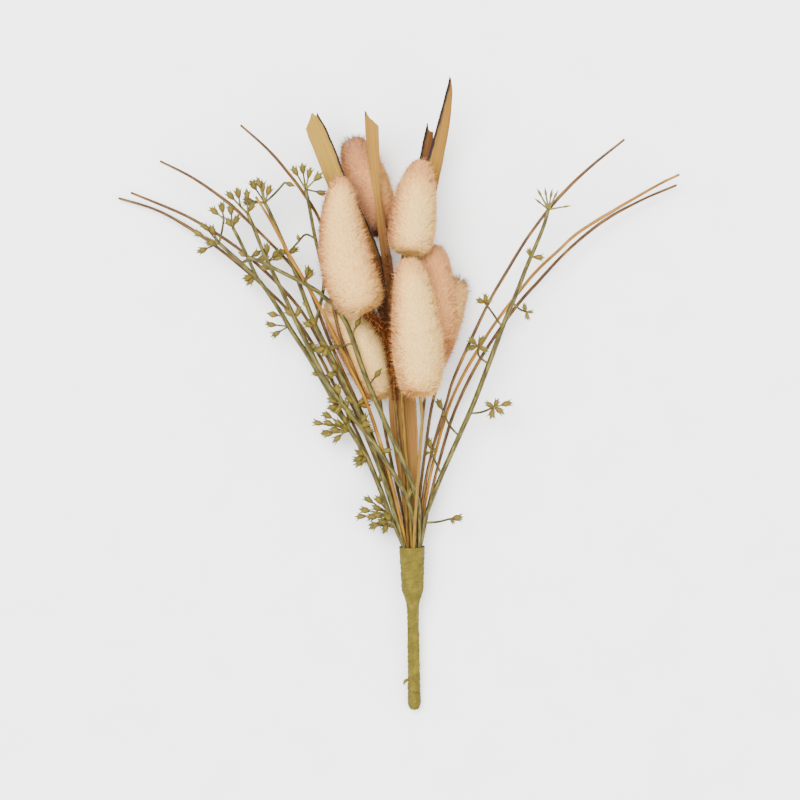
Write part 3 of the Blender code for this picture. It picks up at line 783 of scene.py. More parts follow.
def furred(name, hairs, slot_name, node):
    """Hairs as one mesh with their bake map and their soft normals."""
    points, faces, fur_place, normal = hairs
    sheaf = Sheaf()
    sheaf.add(points, faces)
    coat = piece(name, sheaf, fur_finish, slot_name, node)
    corners = np.concatenate([block.ravel() for block in faces])
    layer = coat.data.uv_layers.new(name="OFBake")
    layer.data.foreach_set("uv", fur_place[corners].astype(np.float32).ravel())
    coat.data.normals_split_custom_set_from_vertices(np.repeat(normal, 5, axis=0).astype(np.float32))
    return coat


# %% The underfur
CORE_ROWS = 40
CORE_SIDES = 40
CORE_DEPTH = 1.1


def underfur(name, body):
    """The dense coat that shows between the hairs: the skin of the head, set in a little."""
    share = (1 - np.cos(np.linspace(0, np.pi, CORE_ROWS))) / 2
    turn = np.arange(CORE_SIDES) * 2 * np.pi / CORE_SIDES
    share, turn = (part.ravel() for part in np.meshgrid(share, turn, indexing="ij"))
    place, off, _, _ = body.skin(np.clip(share, 0.0005, 0.9995), turn)
    inner = place - off * CORE_DEPTH
    faces = [ring_quads(CORE_ROWS, CORE_SIDES), *ring_lids(CORE_ROWS, CORE_SIDES)]
    sheaf = Sheaf()
    sheaf.add(inner, faces, tone=fur_tones_and_painted_light(name, share, turn), grain=inner)
    return piece(name + "_underfur", sheaf, underfur_finish, "fluff", name)


# %% Grow the fur
rng = np.random.default_rng(7)
for name, body in bodies.items():
    underfur(name, body)
    furred(name + "_fur", grow_fur(name, body, rng), "fluff", name)


# %% [markdown]
# ## Stems of the bunny tails
#
# Below each head its own stem runs down into the tape. They are thin straws, yellow-olive or darker brown,
# with fine grain along them.

# %% Straw finish for the stems
def streaked(name, dark, middle, light, roughness, streak=(1.3, 1.3, 0.16), blotch=0.5):
    """Dry stem: streaks of three tones that follow the grain, broken by blotches."""
    made = Finish(name, Roughness=roughness, Specular_IOR_Level=0.2)
    grain = made.held("grain", "Vector")
    streaks = made.noise(made.stretched(grain, *streak), 1.0, 4.0, 0.6)
    blotches = made.noise(made.stretched(grain, 0.5, 0.5, 0.22), 1.0, 3.0)
    mottle = (blotches - 0.5) * blotch
    shade = (made.held("tone") - 0.5) * 0.5
    tone = made.clear_range(streaks + mottle + shade, 0.28, 0.72)
    colour = made.ramp(tone, (0.0, dark), (0.5, middle), (1.0, light))
    return made.feed(Base_Color=colour, Normal=made.raised(streaks, 0.12))


straw = streaked("straw_stem", srgb(55, 35, 9), srgb(87, 64, 15), srgb(116, 89, 24), 0.6)

# %% Grow the stems
STEM_MOUTH_RADIUS = 0.58
STEM_GROWTH = 0.02
HEAD_STEM_RADIUS = 0.68
NECK_IN_HEAD = 4.0
STEM_TONES = dict(zip(TAILS, (0.3, 0.2, 0.6, 0.35, 0.8, 0.15, 0.4)))


def stem_radii(line, full, top=None, top_run=1.0):
    """Full size along the stem, thinner where the tape squeezes it and, if asked, towards its top."""
    squeezed = STEM_MOUTH_RADIUS + STEM_GROWTH * np.maximum(0, line[:, 1] - MOUTH[1])
    radii = np.minimum(full, squeezed)
    if top is None:
        return radii
    from_top = np.linalg.norm(line - line[0], axis=1) / top_run
    return np.minimum(radii, top + (full - top) * np.minimum(1, from_top))


stem_routes = {}
for name, way in TAILS.items():
    base = bodies[name].line
    route = to_mouth([base[-1], *traced(way["stem"])], way["column"], way["row"])
    route = np.vstack([base[-1] - unit(base[-1] - base[-2]) * NECK_IN_HEAD, route])
    sheaf = Sheaf()
    tube(sheaf, route, stem_radii(route, HEAD_STEM_RADIUS), tone=STEM_TONES[name], twist=0.05)
    piece(name + "_stem", sheaf, straw, "golden_stalk", name)
    stem_routes[name] = route


# %% [markdown]
# ## Leaf strips
#
# The four leaves are dry strips, folded a little along the midrib. Each tip is torn unevenly, and some
# edges are scorched black. A strip is a grid with a fine step both ways, so the tear is a real outline
# and the veins are real ridges. The tear is made by sliding the first rows along the leaf by a different
# distance in each column, which keeps the grid whole.

# %% Routes of the leaves
LEAVES = {
    "leaf_left": dict(
        ribs=[
            (311, 118, 24.5, 3.4), (317, 132, 23.4, 4.2), (327, 156, 22, 4.3), (336, 180, 21, 4.2),
            (349, 208, 20.6, 4.3), (363, 236, 20.2, 3.9), (374, 264, 19.4, 3.6), (380, 296, 18.4, 3.1),
            (390, 332, 17.4, 1.9), (395, 368, 16.8, 1.7), (395, 402, 14.2, 2.8), (398, 434, 13.0, 2.9),
            (403, 470, 11.5, 2.5), (408, 512, 10.1, 1.8),
        ],
        column=0, row=-1,
    ),
    "leaf_centre": dict(
        ribs=[
            (371, 114, 24, 2.6), (372, 130, 23, 2.9), (374, 160, 21.8, 2.4), (378, 198, 21, 1.4),
            (383, 236, 20.8, 1.9), (388, 268, 20.6, 2.2), (392, 300, 20.4, 2.3), (397, 342, 19.6, 2.5),
            (399, 392, 18, 2.9), (402, 440, 16, 2.6), (407, 492, 14.2, 1.9),
        ],
        column=0, row=1,
    ),
    "leaf_right": dict(
        ribs=[
            (450, 78, 24.5, 0.3), (449, 93, 23, 1.5), (444, 122, 19.5, 2.6), (437, 153, 16.6, 3.2),
            (430, 184, 15, 3.4), (422, 220, 14.6, 3.2), (414, 256, 14.8, 3.0), (408, 298, 15.2, 2.8),
            (406, 345, 15.2, 2.8), (409, 396, 15.4, 2.9), (412, 440, 14.5, 2.4), (413, 495, 12.8, 1.7),
        ],
        column=0.5, row=0,
    ),
    "leaf_sliver": dict(
        ribs=[
            (430, 126, 16.5, 1.5), (428, 140, 14.4, 2.1), (424, 160, 12.6, 2.1), (416, 192, 11.8, 1.7),
            (409, 232, 11.8, 1.7), (403, 275, 12, 1.6), (401, 322, 12.2, 1.6), (401, 375, 12, 1.5),
            (404, 440, 10.4, 1.3), (409, 500, 9.2, 0.9),
        ],
        column=0, row=-2, mouth_half_width=0.55,
    ),
}

# %% Torn tips, scorched edges and age
# Each tear is a list of: how far across (-1 left to 1 right) and how far back from the first rib, in mm.
TEARS = {
    "leaf_left": [(-1, 3.5), (0.3, -1.5), (0.42, -1.5), (0.66, 0.5), (0.85, -0.3), (1, -1.2)],
    "leaf_centre": [(-1, -1.6), (-0.9, -1.2), (-0.2, 1.9), (0.4, 3.5), (0.8, 4.8), (1, 5.2)],
    "leaf_right": [(-1, -0.9), (1, 0.6)],
    "leaf_sliver": [(-1, -1.4), (-0.7, -1.2), (-0.5, 0.2), (-0.25, 1.6), (0.3, 2.2), (1, 2.4)],
}
# The scorched part of each leaf: the edge that it is on, how far in it reaches and how far down it, in mm.
SCORCHES = {
    "leaf_left": (1, 0.85, 84.0),
    "leaf_centre": (-1, 0.5, 6.0),
    "leaf_right": (-1, 1.15, 44.0),
    "leaf_sliver": (-1, 1.15, 24.0),
}

# How aged a leaf looks at each distance from its tip: 0 straw, 0.5 golden brown, 0.65 orange brown, 0.9 tan.
AGES = {
    "leaf_left": ((0, 20, 45, 80, 110, 150), (0.02, 0.08, 0.42, 0.6, 0.8, 0.9)),
    "leaf_centre": ((0, 30, 45, 60, 100, 130), (0.3, 0.32, 0.48, 0.62, 0.66, 0.9)),
    "leaf_right": ((0, 12, 40, 80, 130, 150), (0.5, 0.42, 0.3, 0.5, 0.8, 0.9)),
    "leaf_sliver": ((0, 20, 60, 130), (0.58, 0.62, 0.6, 0.85)),
}

# %% Leaf finish
leaf = Finish("dried_reed_leaf", Roughness=0.7, Specular_IOR_Level=0.25)
leaf_grain = leaf.held("grain", "Vector")
leaf_veins = leaf.noise(leaf.stretched(leaf_grain, 3.2, 0.03, 1.0), 1.0, 5.0, 0.65)
leaf_bands = leaf.noise(leaf.stretched(leaf_grain, 0.35, 0.02, 1.0), 1.0, 3.0)
leaf_age = leaf.held("tone")
leaf_hue = leaf.ramp(
    leaf_age + (leaf_bands - 0.5) * 0.35,
    (0.0, srgb(142, 114, 32)), (0.3, srgb(134, 98, 28)), (0.5, srgb(104, 68, 16)), (0.66, srgb(77, 41, 9)),
    (0.9, srgb(113, 77, 24)),
)
leaf_lines = leaf.ramp(
    leaf.clear_range(leaf_veins, 0.3, 0.7), (0.0, (0.72, 0.68, 0.62, 1.0)), (1.0, (1.1, 1.1, 1.1, 1.0))
)
leaf_body = leaf.mix(1.0, leaf_hue, leaf_lines, "MULTIPLY")
leaf_scorch = leaf.held("scorch")
leaf_singed = leaf.mix(leaf.clear_range(leaf_scorch, 0.1, 0.55), leaf_body, srgb(77, 44, 15))
leaf_colour = leaf.mix(leaf.clear_range(leaf_scorch, 0.35, 0.7), leaf_singed, srgb(17, 12, 6))
leaf_finish = leaf.feed(Base_Color=leaf_colour, Normal=leaf.raised(leaf_veins, 0.1))

# %% Cut the leaves
LEAF_FOLD = 0.22
LEAF_THICKNESS = 0.36
LEAF_COLUMNS = 21
TEAR_RUN = 9.0
MOUTH_HALF_WIDTH = 1.15


def leaf_strip(name, way, seed):
    """A folded strip with a torn tip, veins and a scorched edge, as a thin closed shell."""
    rng = np.random.default_rng(seed)
    entry = slot(way["column"], way["row"])
    end_half = way.get("mouth_half_width", MOUTH_HALF_WIDTH)
    halves = [rib[3] for rib in way["ribs"]] + [end_half]
    knots = np.array([*traced([rib[:3] for rib in way["ribs"]]), entry])
    line = smooth(knots, 1.0)
    knot_run = run_length(knots)
    run = run_length(line)
    half = np.interp(run * knot_run[-1] / run[-1], knot_run, halves)
    line = np.vstack([line, entry + TAPE_DOWN * STEM_IN_POCKET])
    half = np.append(half, end_half)
    run = run_length(line)
    across = np.linspace(-1, 1, LEAF_COLUMNS)
    tear = np.interp(across, *zip(*TEARS[name])) + rng.normal(0, 0.12, LEAF_COLUMNS)
    into = tear[None] * np.clip(1 - run[:, None] / TEAR_RUN, 0, 1) + run[:, None]
    tangent, side, up = frames(line)

    def along(values):
        return np.stack([np.interp(into, run, part) for part in values.T], -1)

    # A tongue of the tear that reaches past the first rib goes straight on from it.
    middle = along(line) + tangent[0] * np.minimum(into, 0)[..., None]
    wave = np.interp(into, np.linspace(0, run[-1], 60), np.cumsum(rng.normal(0, 0.035, 60)))
    fray = 1 + np.interp(run, np.linspace(0, run[-1], 90), rng.normal(0, 0.012, 90))[:, None]
    width = np.interp(into, run, half) * fray
    veins = 0.05 * np.sin(across * 26 + seed)[None] + 0.12 * width * np.cos(across * 4.2 + seed)[None] * 0.4
    lift = np.hypot(width * LEAF_FOLD * across, 0.12) - 0.12 + veins + wave * across**2 * 0.35
    # The picture's right is against the side direction, which points left on a stem that runs down.
    top = middle - along(side) * (across * width)[..., None]
    top = top + along(up) * (lift + LEAF_THICKNESS / 2)[..., None]
    under_side = top - along(up) * LEAF_THICKNESS
    rows, columns = into.shape
    count = rows * columns
    row, column = np.meshgrid(np.arange(rows - 1), np.arange(columns - 1), indexing="ij")
    a = (row * columns + column).ravel()
    upper = np.stack([a, a + 1, a + columns + 1, a + columns], -1)
    lower = upper[:, ::-1] + count
    border = np.concatenate([
        np.arange(columns), np.arange(1, rows) * columns + columns - 1,
        np.arange(columns - 2, -1, -1) + (rows - 1) * columns, np.arange(rows - 2, 0, -1) * columns,
    ])
    following = np.roll(border, -1)
    rim = np.stack([following, border, border + count, following + count], -1)
    edge, reach, depth = SCORCHES[name]
    from_edge = np.abs(across - edge)[None] * width
    reach = reach * (1 + 0.15 * np.sin(into * 0.9 + seed) * np.sin(into * 0.37))
    scorch = np.clip(1.35 - from_edge / reach, 0, 1) * np.clip((depth - into) / 8, 0, 1)
    singed_point = np.clip(1.2 - run[:, None] / 1.3, 0, 1) * np.clip(1.5 - from_edge / 0.7, 0, 1)
    scorch = np.maximum(scorch, singed_point)
    age = np.interp(into, *AGES[name]) + 0.06 * across**2
    grain = np.stack([across * width, into, np.full_like(into, seed * 7.3)], -1).reshape(-1, 3)
    sheaf = Sheaf()
    sheaf.add(
        np.vstack([top.reshape(-1, 3), under_side.reshape(-1, 3)]),
        [upper, lower, rim],
        grain=np.vstack([grain, grain]),
        tone=np.tile(age.ravel(), 2),
        scorch=np.tile(scorch.ravel(), 2),
    )
    return piece(name + "_strip", sheaf, leaf_finish, "dry_leaf", name)


for seed, (name, way) in enumerate(LEAVES.items()):
    leaf_strip(name, way, seed + 1)


# %% [markdown]
# ## Rust-brown fibres
#
# Between the heads the stems and leaves are covered with short rust-brown fibres. Most are given very dark
# tones that paint the shade in the gap between the two front heads, and a few lighter strands keep the
# rust-brown of the fibres. They are the same blades as the fur, from the brown end of its ramp, planted on the
# stem or leaf that they grow from.

# %% Fibres
# Painted shade: most fibres get the darkest tones, which paint the shade in the gap between the heads; the
# lighter ones are the rust-brown of the fibres themselves.
LIGHT_FIBRE_SHARE = 0.16
LIGHT_FIBRE_TONES = (0.8, 0.88)
DARK_FIBRE_AND_PAINTED_SHADE_TONES = (0.9, 0.98)


def fibres(node, line, start, end, count, spread, longest, rng):
    """Fibres on a stretch of a line, spread to its sides. A stem has them all round and a leaf on its top."""
    run = run_length(line)
    place = rng.uniform(start, end, count)
    centre, tangent, side, up = (
        np.stack([np.interp(place, run, part) for part in values.T], -1) for values in (line, *frames(line))
    )
    turn = rng.uniform(0, 2 * np.pi if node in stem_routes else np.pi, count)
    out = side * np.cos(turn)[:, None] + up * np.sin(turn)[:, None]
    way = unit(out + tangent * rng.normal(0, 0.7, (count, 1)) + rng.normal(0, 0.2, (count, 3)))
    root = centre + side * rng.uniform(-spread, spread, (count, 1))
    fading = np.clip((end - place) / (0.4 * (end - start)), 0.35, 1)
    length = longest * rng.uniform(0.35, 1.0, count) * fading
    light = rng.random(count) < LIGHT_FIBRE_SHARE
    tone = np.where(light, rng.uniform(*LIGHT_FIBRE_TONES, count), rng.uniform(*DARK_FIBRE_AND_PAINTED_SHADE_TONES, count))
    hairs = blades(root, way, out, length, rng.uniform(0.1, 0.17, count), tone, rng)
    return furred(node + "_fibres", hairs, "fluff", node)


# %% Grow the fibres
# Each is: the piece, where the fibres start and end along it, how many, how far to its sides, the longest.
FIBRES = (
    ("bunny_tail_front_left", 1, 46, 7000, 0.6, 5.2),
    ("bunny_tail_top_right", 3, 9, 500, 0.4, 2.6),
    ("leaf_centre", 60, 118, 3600, 2.0, 2.0),
    ("leaf_left", 62, 120, 3600, 2.4, 2.0),
)

rng = np.random.default_rng(11)
for name, *growth in FIBRES:
    if name in stem_routes:
        route = stem_routes[name]
    else:
        route = traced([rib[:3] for rib in LEAVES[name]["ribs"]])
    fibres(name, route, *growth, rng)


# %% [markdown]
# ## Bare stalks
#
# Eight thin stalks arch out of the pick like fishing rods. Six are brown, streaked dark and light, and two
# are golden straw. The streaks turn slowly round the stalk, and a little unevenness in the radius keeps it
# from looking drawn with a pen.

# %% Routes of the stalks
STALKS = {
    "stalk_left_high": dict(
        route=[
            (241, 126, 28), (268, 150, 27), (289, 174, 25.4), (306, 197, 22.6), (319, 219, 20),
            (326, 245, 18.8), (329, 275, 18.4), (333, 305, 19.6), (340, 335, 20.8), (352, 366, 18.8),
            (365, 398, 15.8), (378, 437, 14), (392, 485, 12.4),
        ],
        column=-2, row=0,
    ),
    "stalk_left_second": dict(
        route=[
            (160, 161, 17), (193, 178, 18.4), (226, 201, 18.8), (247, 220, 18.4), (281, 254, 17),
            (306, 284, 15.6), (317, 308, 14.4), (327, 335, 13.4), (340, 365, 12.8), (356, 400, 12.2),
            (374, 440, 11), (391, 488, 9.6),
        ],
        column=-1, row=-2,
    ),
    "stalk_left_third": dict(
        route=[
            (130, 192, 9), (176, 211, 11.4), (201, 224, 12.2), (239, 249, 12.6), (277, 283, 12.2),
            (302, 312, 11.6), (321, 345, 11), (339, 380, 10.4), (357, 416, 10), (374, 456, 9.4),
            (390, 500, 8.8),
        ],
        column=-2, row=-2,
    ),
    "stalk_left_low": dict(
        route=[
            (117, 197, 2.6), (155, 209, 4.6), (188, 227, 6), (222, 251, 7), (260, 283, 7.8),
            (294, 317, 8.2), (316, 350, 8.5), (334, 385, 8.7), (352, 422, 8.9), (370, 462, 9.2),
            (387, 508, 9.5),
        ],
        column=-2.5, row=-1,
    ),
    "stalk_golden": dict(
        route=[
            (256, 197, 24.6), (272, 223, 24.6), (290, 256, 24), (312, 293, 23), (323, 313, 22.2),
            (336, 338, 21.4), (352, 371, 20), (369, 409, 18.2), (384, 455, 16.2), (396, 500, 14.6),
        ],
        column=-1.5, row=1,
    ),
    "stalk_right_high": dict(
        route=[
            (624, 140, 25), (594, 164, 24), (571, 185, 22.8), (549, 209, 21.6), (526, 240, 20.6),
            (504, 276, 19.8), (487, 306, 19.2), (456, 373, 17), (446, 404, 15.6), (438, 430, 14.4),
            (431, 456, 13.4), (424, 491, 12.2),
        ],
        column=2, row=0,
    ),
    "stalk_right_second": dict(
        route=[
            (680, 174, 13), (654, 187, 13.8), (585, 228, 14.6), (559, 250, 14.6), (533, 275, 14.4),
            (499, 318, 13.8), (481, 345, 13.2), (464, 374, 12.6), (450, 404, 12), (439, 440, 11.2),
            (430, 477, 10.6), (423, 516, 10),
        ],
        column=1.5, row=-1,
    ),
    "stalk_right_low": dict(
        route=[
            (678, 184, 4), (645, 198, 5.6), (611, 216, 6.8), (585, 235, 7.6), (561, 257, 8.2),
            (537, 283, 8.6), (516, 307, 8.8), (486, 350, 9), (468, 382, 9.2), (453, 416, 9.3),
            (442, 452, 9.4), (431, 495, 9.5),
        ],
        column=2.5, row=-1,
    ),
}

# %% Stalk finishes
brown_stalk = streaked(
    "brown_stalk", srgb(38, 22, 6), srgb(74, 47, 13), srgb(120, 85, 28), 0.5, (1.2, 1.2, 0.1), 0.35
)
golden_stalk = streaked(
    "golden_stalk", srgb(84, 50, 4), srgb(124, 82, 8), srgb(156, 112, 16), 0.5, (1.1, 1.1, 0.1), 0.3
)
GOLDEN = ("stalk_golden", "stalk_right_second")

# %% Grow the stalks
STALK_RADIUS = 0.72
STALK_TIP_RADIUS = 0.5
STALK_TIP_RUN = 25.0
STALK_SIDES = 10


def uneven(rng, line, sides, amount):
    """A gentle unevenness for a stem's radius: slow along it, with two flats round it."""
    count = max(4, len(line) // 4)
    slow = np.interp(np.arange(len(line)), np.linspace(0, len(line), count), rng.normal(0, amount, count))
    turn = np.arange(sides) * 2 * np.pi / sides
    flats = amount * np.cos(2 * turn[None] + np.arange(len(line))[:, None] * 0.25)
    return 1 + slow[:, None] + flats


for seed, (name, way) in enumerate(STALKS.items()):
    rng = np.random.default_rng(40 + seed)
    line = to_mouth(traced(way["route"]), way["column"], way["row"])
    radii = stem_radii(line, STALK_RADIUS, STALK_TIP_RADIUS, STALK_TIP_RUN)[:, None]
    sheaf = Sheaf()
    tube(sheaf, line, radii * uneven(rng, line, STALK_SIDES, 0.04), STALK_SIDES, tone=0.5, twist=0.06)
    if name in GOLDEN:
        piece(name + "_straw", sheaf, golden_stalk, "golden_stalk", name)
    else:
        piece(name + "_straw", sheaf, brown_stalk, "brown_stalk", name)


# %% [markdown]
# ## Budded sprays
#
# The green sprays look moulded: a ribbed stem, thin rays that leave it in a cluster, and on each ray a
# pointed bud with a few shorter teeth beside its point. The teeth are what make a bud read as a bud from a
# step away, so each one is a small cone of its own. One cluster is a tuft of bare needles.

# %% Routes of the sprays
SPRAYS = {
    "spray_outer_left": dict(
        stems=[
            [
                (219, 243, 16.4), (241, 263, 15.8), (261, 283, 15), (278, 308, 14.2), (291, 330, 13.8),
                (305, 351, 13.4), (320, 376, 13.2), (349, 428, 13), (366, 456, 12.9), (379, 486, 12.7),
                (390, 515, 12.5),
            ],
            [
                (233, 228, 20), (239, 239, 19.4), (246, 254, 18), (252, 267, 16.6), (258, 279, 15),
            ],
        ],
        twigs=[
            [(219, 243), (222, 231, 2.2), (224, 219, 3.6)],
        ],
        clusters=[
            ((219, 243), [
                (192, 231, 1), (201, 222, 2.2), (209, 224, -1.4), (196, 253, 0.6), (204, 243, 2),
            ]),
            ((224, 219), [(209, 207, 1), (221, 201, 1.6)]),
            ((233, 228), [(230, 203, 1), (225, 217, -1.6), (239, 214, 2.4)]),
            ((256, 276), [(241, 279, -1), (246, 286, -2)]),
            ((284, 317), [(266, 313, 1.4)]),
            ((288, 326), [(264, 324, 0.6), (270, 337, -1)]),
            ((349, 428), [
                (311, 422, 1), (321, 412, 2.4), (329, 404, 3.4), (319, 434, -1), (332, 443, -2.4),
            ]),
            ((366, 456), [(354, 450, 1.6), (355, 468, -1)]),
            ((390, 515), [
                (363, 496, 1.4), (375, 495, 2.6), (354, 517, 0), (368, 530, -2), (383, 535, 1.6),
            ]),
        ],
        column=-2.5, row=1,
    ),
    "spray_middle_left": dict(
        stems=[
            [
                (248, 214, 22.6), (254, 228, 22.4), (261, 246, 22), (268, 262, 21.6), (282, 291, 20.4),
                (295, 319, 19.4), (310, 350, 18.8), (326, 381, 18.4), (343, 405, 18.6), (361, 427, 19),
                (380, 452, 19.6), (398, 481, 19.6), (408, 500, 18.6), (414, 522, 16.6),
            ],
        ],
        twigs=[
            [(248, 214), (241, 207, 1)],
        ],
        clusters=[
            ((248, 214), [(247, 188, 2), (255, 201, 1)]),
            ((241, 207), [(237, 187, 1.4), (226, 191, 1)]),
            ((268, 262), [(267, 242, 2), (281, 249, 1.6), (284, 255, -1)]),
            ((272, 270), [(259, 266, 2)]),
            ((343, 405), [(336, 383, 2), (326, 409, 1.6)]),
            ((380, 452), [(393, 449, 2)]),
        ],
        column=1, row=2,
    ),
    "spray_inner_left": dict(
        stems=[
            [
                (265, 203, 21.6), (272, 217, 21.6), (288, 254, 21.2), (297, 277, 20.8), (306, 302, 19.8),
                (315, 325, 18.4), (328, 351, 17), (342, 378, 16), (356, 406, 15.4), (371, 442, 14.9),
                (386, 486, 14.4),
            ],
            [
                (306, 190, 28), (309, 204, 27.6), (312, 221, 27), (316, 241, 26), (320, 258, 24.8),
                (324, 275, 23), (323, 292, 20.8), (319, 310, 19.2), (315, 325, 18.4),
            ],
        ],
        twigs=[
            [(265, 203), (275, 194, 1.6), (285, 183, 3.6)],
            [(313, 239), (306, 235, 1), (299, 242, 1.4), (291, 251, 1)],
        ],
        clusters=[
            ((265, 203), [
                (250, 180, 2), (257, 177, 3), (262, 180, 1), (271, 184, -1), (242, 203, -3),
                (242, 199, -4.6),
            ]),
            ((285, 183), [(296, 187, 0)]),
            ((306, 190), [(292, 166, 1), (302, 163, 2), (311, 167, 0), (323, 173, 1.6), (328, 195, 0)]),
            ((299, 242), [(298, 234, 1)]),
            ((308, 306), [(302, 302, 1.4)]),
            ((316, 328), [(302, 322, 1), (311, 316, 2.6)]),
            ((342, 378), [(331, 362, 2)]),
        ],
        column=-2, row=2,
    ),
    "spray_crossing": dict(
        stems=[
            [
                (247, 257, 26), (261, 262, 26.2), (279, 271, 26.6), (312, 288, 26.4), (325, 298, 26),
                (337, 309, 25.4), (347, 325, 24.8), (354, 343, 24.4), (361, 364, 24), (369, 385, 23.6),
                (378, 406, 23.2), (388, 429, 22.8), (398, 451, 22.2), (407, 471, 21.2), (414, 490, 19.8),
                (419, 510, 17.4),
            ],
        ],
        twigs=[
            [(354, 343), (341, 346, 0.6), (328, 347, 1)],
        ],
        clusters=[
            ((247, 257), [(238, 252, 1)]),
            ((306, 284), [(309, 265, 2), (314, 269, 0.6)]),
            ((352, 336), [(361, 317, 1.6)]),
            ((328, 347), [(315, 352, 0.6), (320, 341, 1.4), (322, 358, -1)]),
            ((369, 385), [(382, 368, 1.6)]),
        ],
        column=2, row=2,
    ),
    "spray_right": dict(
        stems=[
            [
                (548, 210, 26.6), (542, 230, 25.8), (526, 268, 23.8), (516, 294, 22.2), (504, 323, 20.4),
                (494, 350, 19), (475, 400, 17), (461, 432, 15.8), (443, 472, 14.6), (432, 499, 13.9),
                (424, 523, 13.2),
            ],
        ],
        twigs=[
            [(513, 302), (519, 309, 1), (526, 312, 1)],
            [(501, 326), (493, 314, 1), (485, 303, 1.4)],
            [(488, 364), (479, 356, 1), (478, 346, 1.4)],
            [(470, 414), (482, 412, 1), (494, 407, 1.6)],
            [(459, 436), (450, 426, 1), (445, 416, 1.2)],
            [(442, 474), (436, 463, 1), (431, 452, 1.4)],
            [(424, 523), (438, 522, 1), (450, 519, 1.6)],
        ],
        clusters=[
            ((548, 210), [
                (536, 188, 1), (544, 187, 2.4), (552, 188, 0), (558, 190, 3), (572, 206, 1),
                (533, 198, -1),
            ]),
            ((531, 256), [(527, 248, 1), (545, 258, 1.4)]),
            ((526, 312), [(534, 312, 0), (528, 321, -1), (523, 303, 1)]),
            ((485, 303), [(475, 299, 0), (486, 293, 1), (493, 299, -1)]),
            ((478, 346), [(468, 337, 3), (484, 335, 2), (466, 349, 2.4), (489, 352, 1)]),
            ((494, 407), [(513, 402, 0), (499, 398, 1), (505, 414, -1), (484, 402, 2), (490, 420, -1.4)]),
            ((445, 416), [(437, 398, 0), (441, 413, 1)]),
            ((431, 452), [(428, 436, 0), (438, 449, 1), (424, 454, -0.6)]),
            ((450, 519), [(464, 517, 0), (455, 524, 1)]),
        ],
        column=2.5, row=1,
    ),
}

# The densest tangle also holds smaller clusters that the solids leave out.
SMALL_CLUSTERS = {
    "spray_outer_left": [
        ((320, 376), [(331, 383, 2), (318, 366, 3), (337, 374, 3.4), (311, 372, 1)]),
        ((305, 351), [(323, 349, 3), (318, 344, 4), (312, 341, 2)]),
        ((349, 428), [(345, 398, 4), (351, 409, 3), (339, 425, 2), (343, 415, 4.4)]),
        ((366, 456), [(352, 462, 0), (362, 465, 2)]),
        ((379, 486), [(383, 470, 2)]),
        ((241, 263), [(262, 250, 3), (270, 256, 2)]),
        ((390, 515), [(371, 505, 2), (358, 509, 1), (366, 518, 2.4), (376, 527, 0)]),
        ((392, 528), [(372, 511, 3), (377, 519, 3.5), (368, 524, 2.5), (384, 512, 3)]),
        ((352, 430), [(322, 421, 2.5), (328, 429, 3), (333, 420, 3.5), (321, 435, 1.5), (338, 431, 3)]),
    ],
    "spray_middle_left": [
        ((343, 405), [(326, 398, 1), (352, 416, 1), (334, 414, 2)]),
        ((361, 427), [(366, 412, 1), (371, 421, 1.6), (375, 432, 1)]),
        ((295, 319), [(284, 308, 1), (301, 306, 1.4)]),
        ((408, 500), [(411, 487, 0.6), (417, 480, 1)]),
    ],
    "spray_inner_left": [
        ((288, 254), [(299, 247, 1), (278, 250, 1)]),
        ((328, 351), [(338, 344, 1), (316, 349, 1.4), (322, 342, 2)]),
        ((356, 406), [(367, 397, 0.6), (346, 395, 1.4), (372, 405, 1)]),
    ],
}

# %% Spray finish
moulded = Finish("grey_olive_spray", Roughness=0.6, Specular_IOR_Level=0.2)
spray_grain = moulded.held("grain", "Vector")
spray_noise = moulded.noise(moulded.stretched(spray_grain, 1.0, 1.0, 0.25), 0.9, 4.0)
spray_part = moulded.held("part")
spray_tone = moulded.held("tone")
stem_green = moulded.ramp(
    moulded.clear_range(spray_noise + (spray_tone - 0.5) * 0.6, 0.3, 0.7),
    (0.0, srgb(46, 40, 14)), (0.5, srgb(74, 66, 28)), (1.0, srgb(104, 95, 42)),
)
bud_green = moulded.ramp(
    spray_part,
    (0.0, srgb(64, 54, 16)), (0.35, srgb(98, 80, 28)), (0.6, srgb(100, 92, 32)), (1.0, srgb(64, 60, 24)),
)
bud_shade = moulded.ramp(spray_tone, (0.0, (0.72, 0.7, 0.62, 1)), (1.0, (1.15, 1.1, 1.0, 1)))
bud_varied = moulded.mix(1.0, bud_green, bud_shade, "MULTIPLY")
spray_colour = moulded.mix(moulded.clear_range(spray_part, 0.01, 0.08), stem_green, bud_varied)
spray_finish = moulded.feed(Base_Color=spray_colour, Normal=moulded.raised(spray_noise, 0.12))

# %% Buds
TWIG_RADIUS = 0.42
BUD_RADIUS = 1.18
BUD_LENGTH = 4.6
BUD_SIDES = 8
BUD_SHARES = np.array([0.0, 0.12, 0.28, 0.44, 0.58, 0.72, 0.86, 1.0])
BUD_WIDTHS = np.array([0.3, 0.55, 0.85, 1.0, 0.84, 0.5, 0.24, 0.03])
BUD_TEETH = 5
TOOTH_LENGTH = 0.5
TOOTH_SIDES = 5
TOOTH_PART = np.repeat([0.55, 0.75, 0.98, 0.55], [TOOTH_SIDES, TOOTH_SIDES, TOOTH_SIDES, 2])
# The top cluster of the right spray is a tuft of needles, not of buds.
NEEDLE_CLUSTERS = {("spray_right", 0)}
NEEDLE_SLIMNESS = 0.42


def turned_about(way, angle, lean):
    """A direction that leans off another by so many degrees, at an angle round it."""
    side = unit(np.cross(way, (0, 0, 1)))
    up = np.cross(side, way)
    off = side * np.cos(angle) + up * np.sin(angle)
    return way * np.cos(np.radians(lean)) + off * np.sin(np.radians(lean)), off


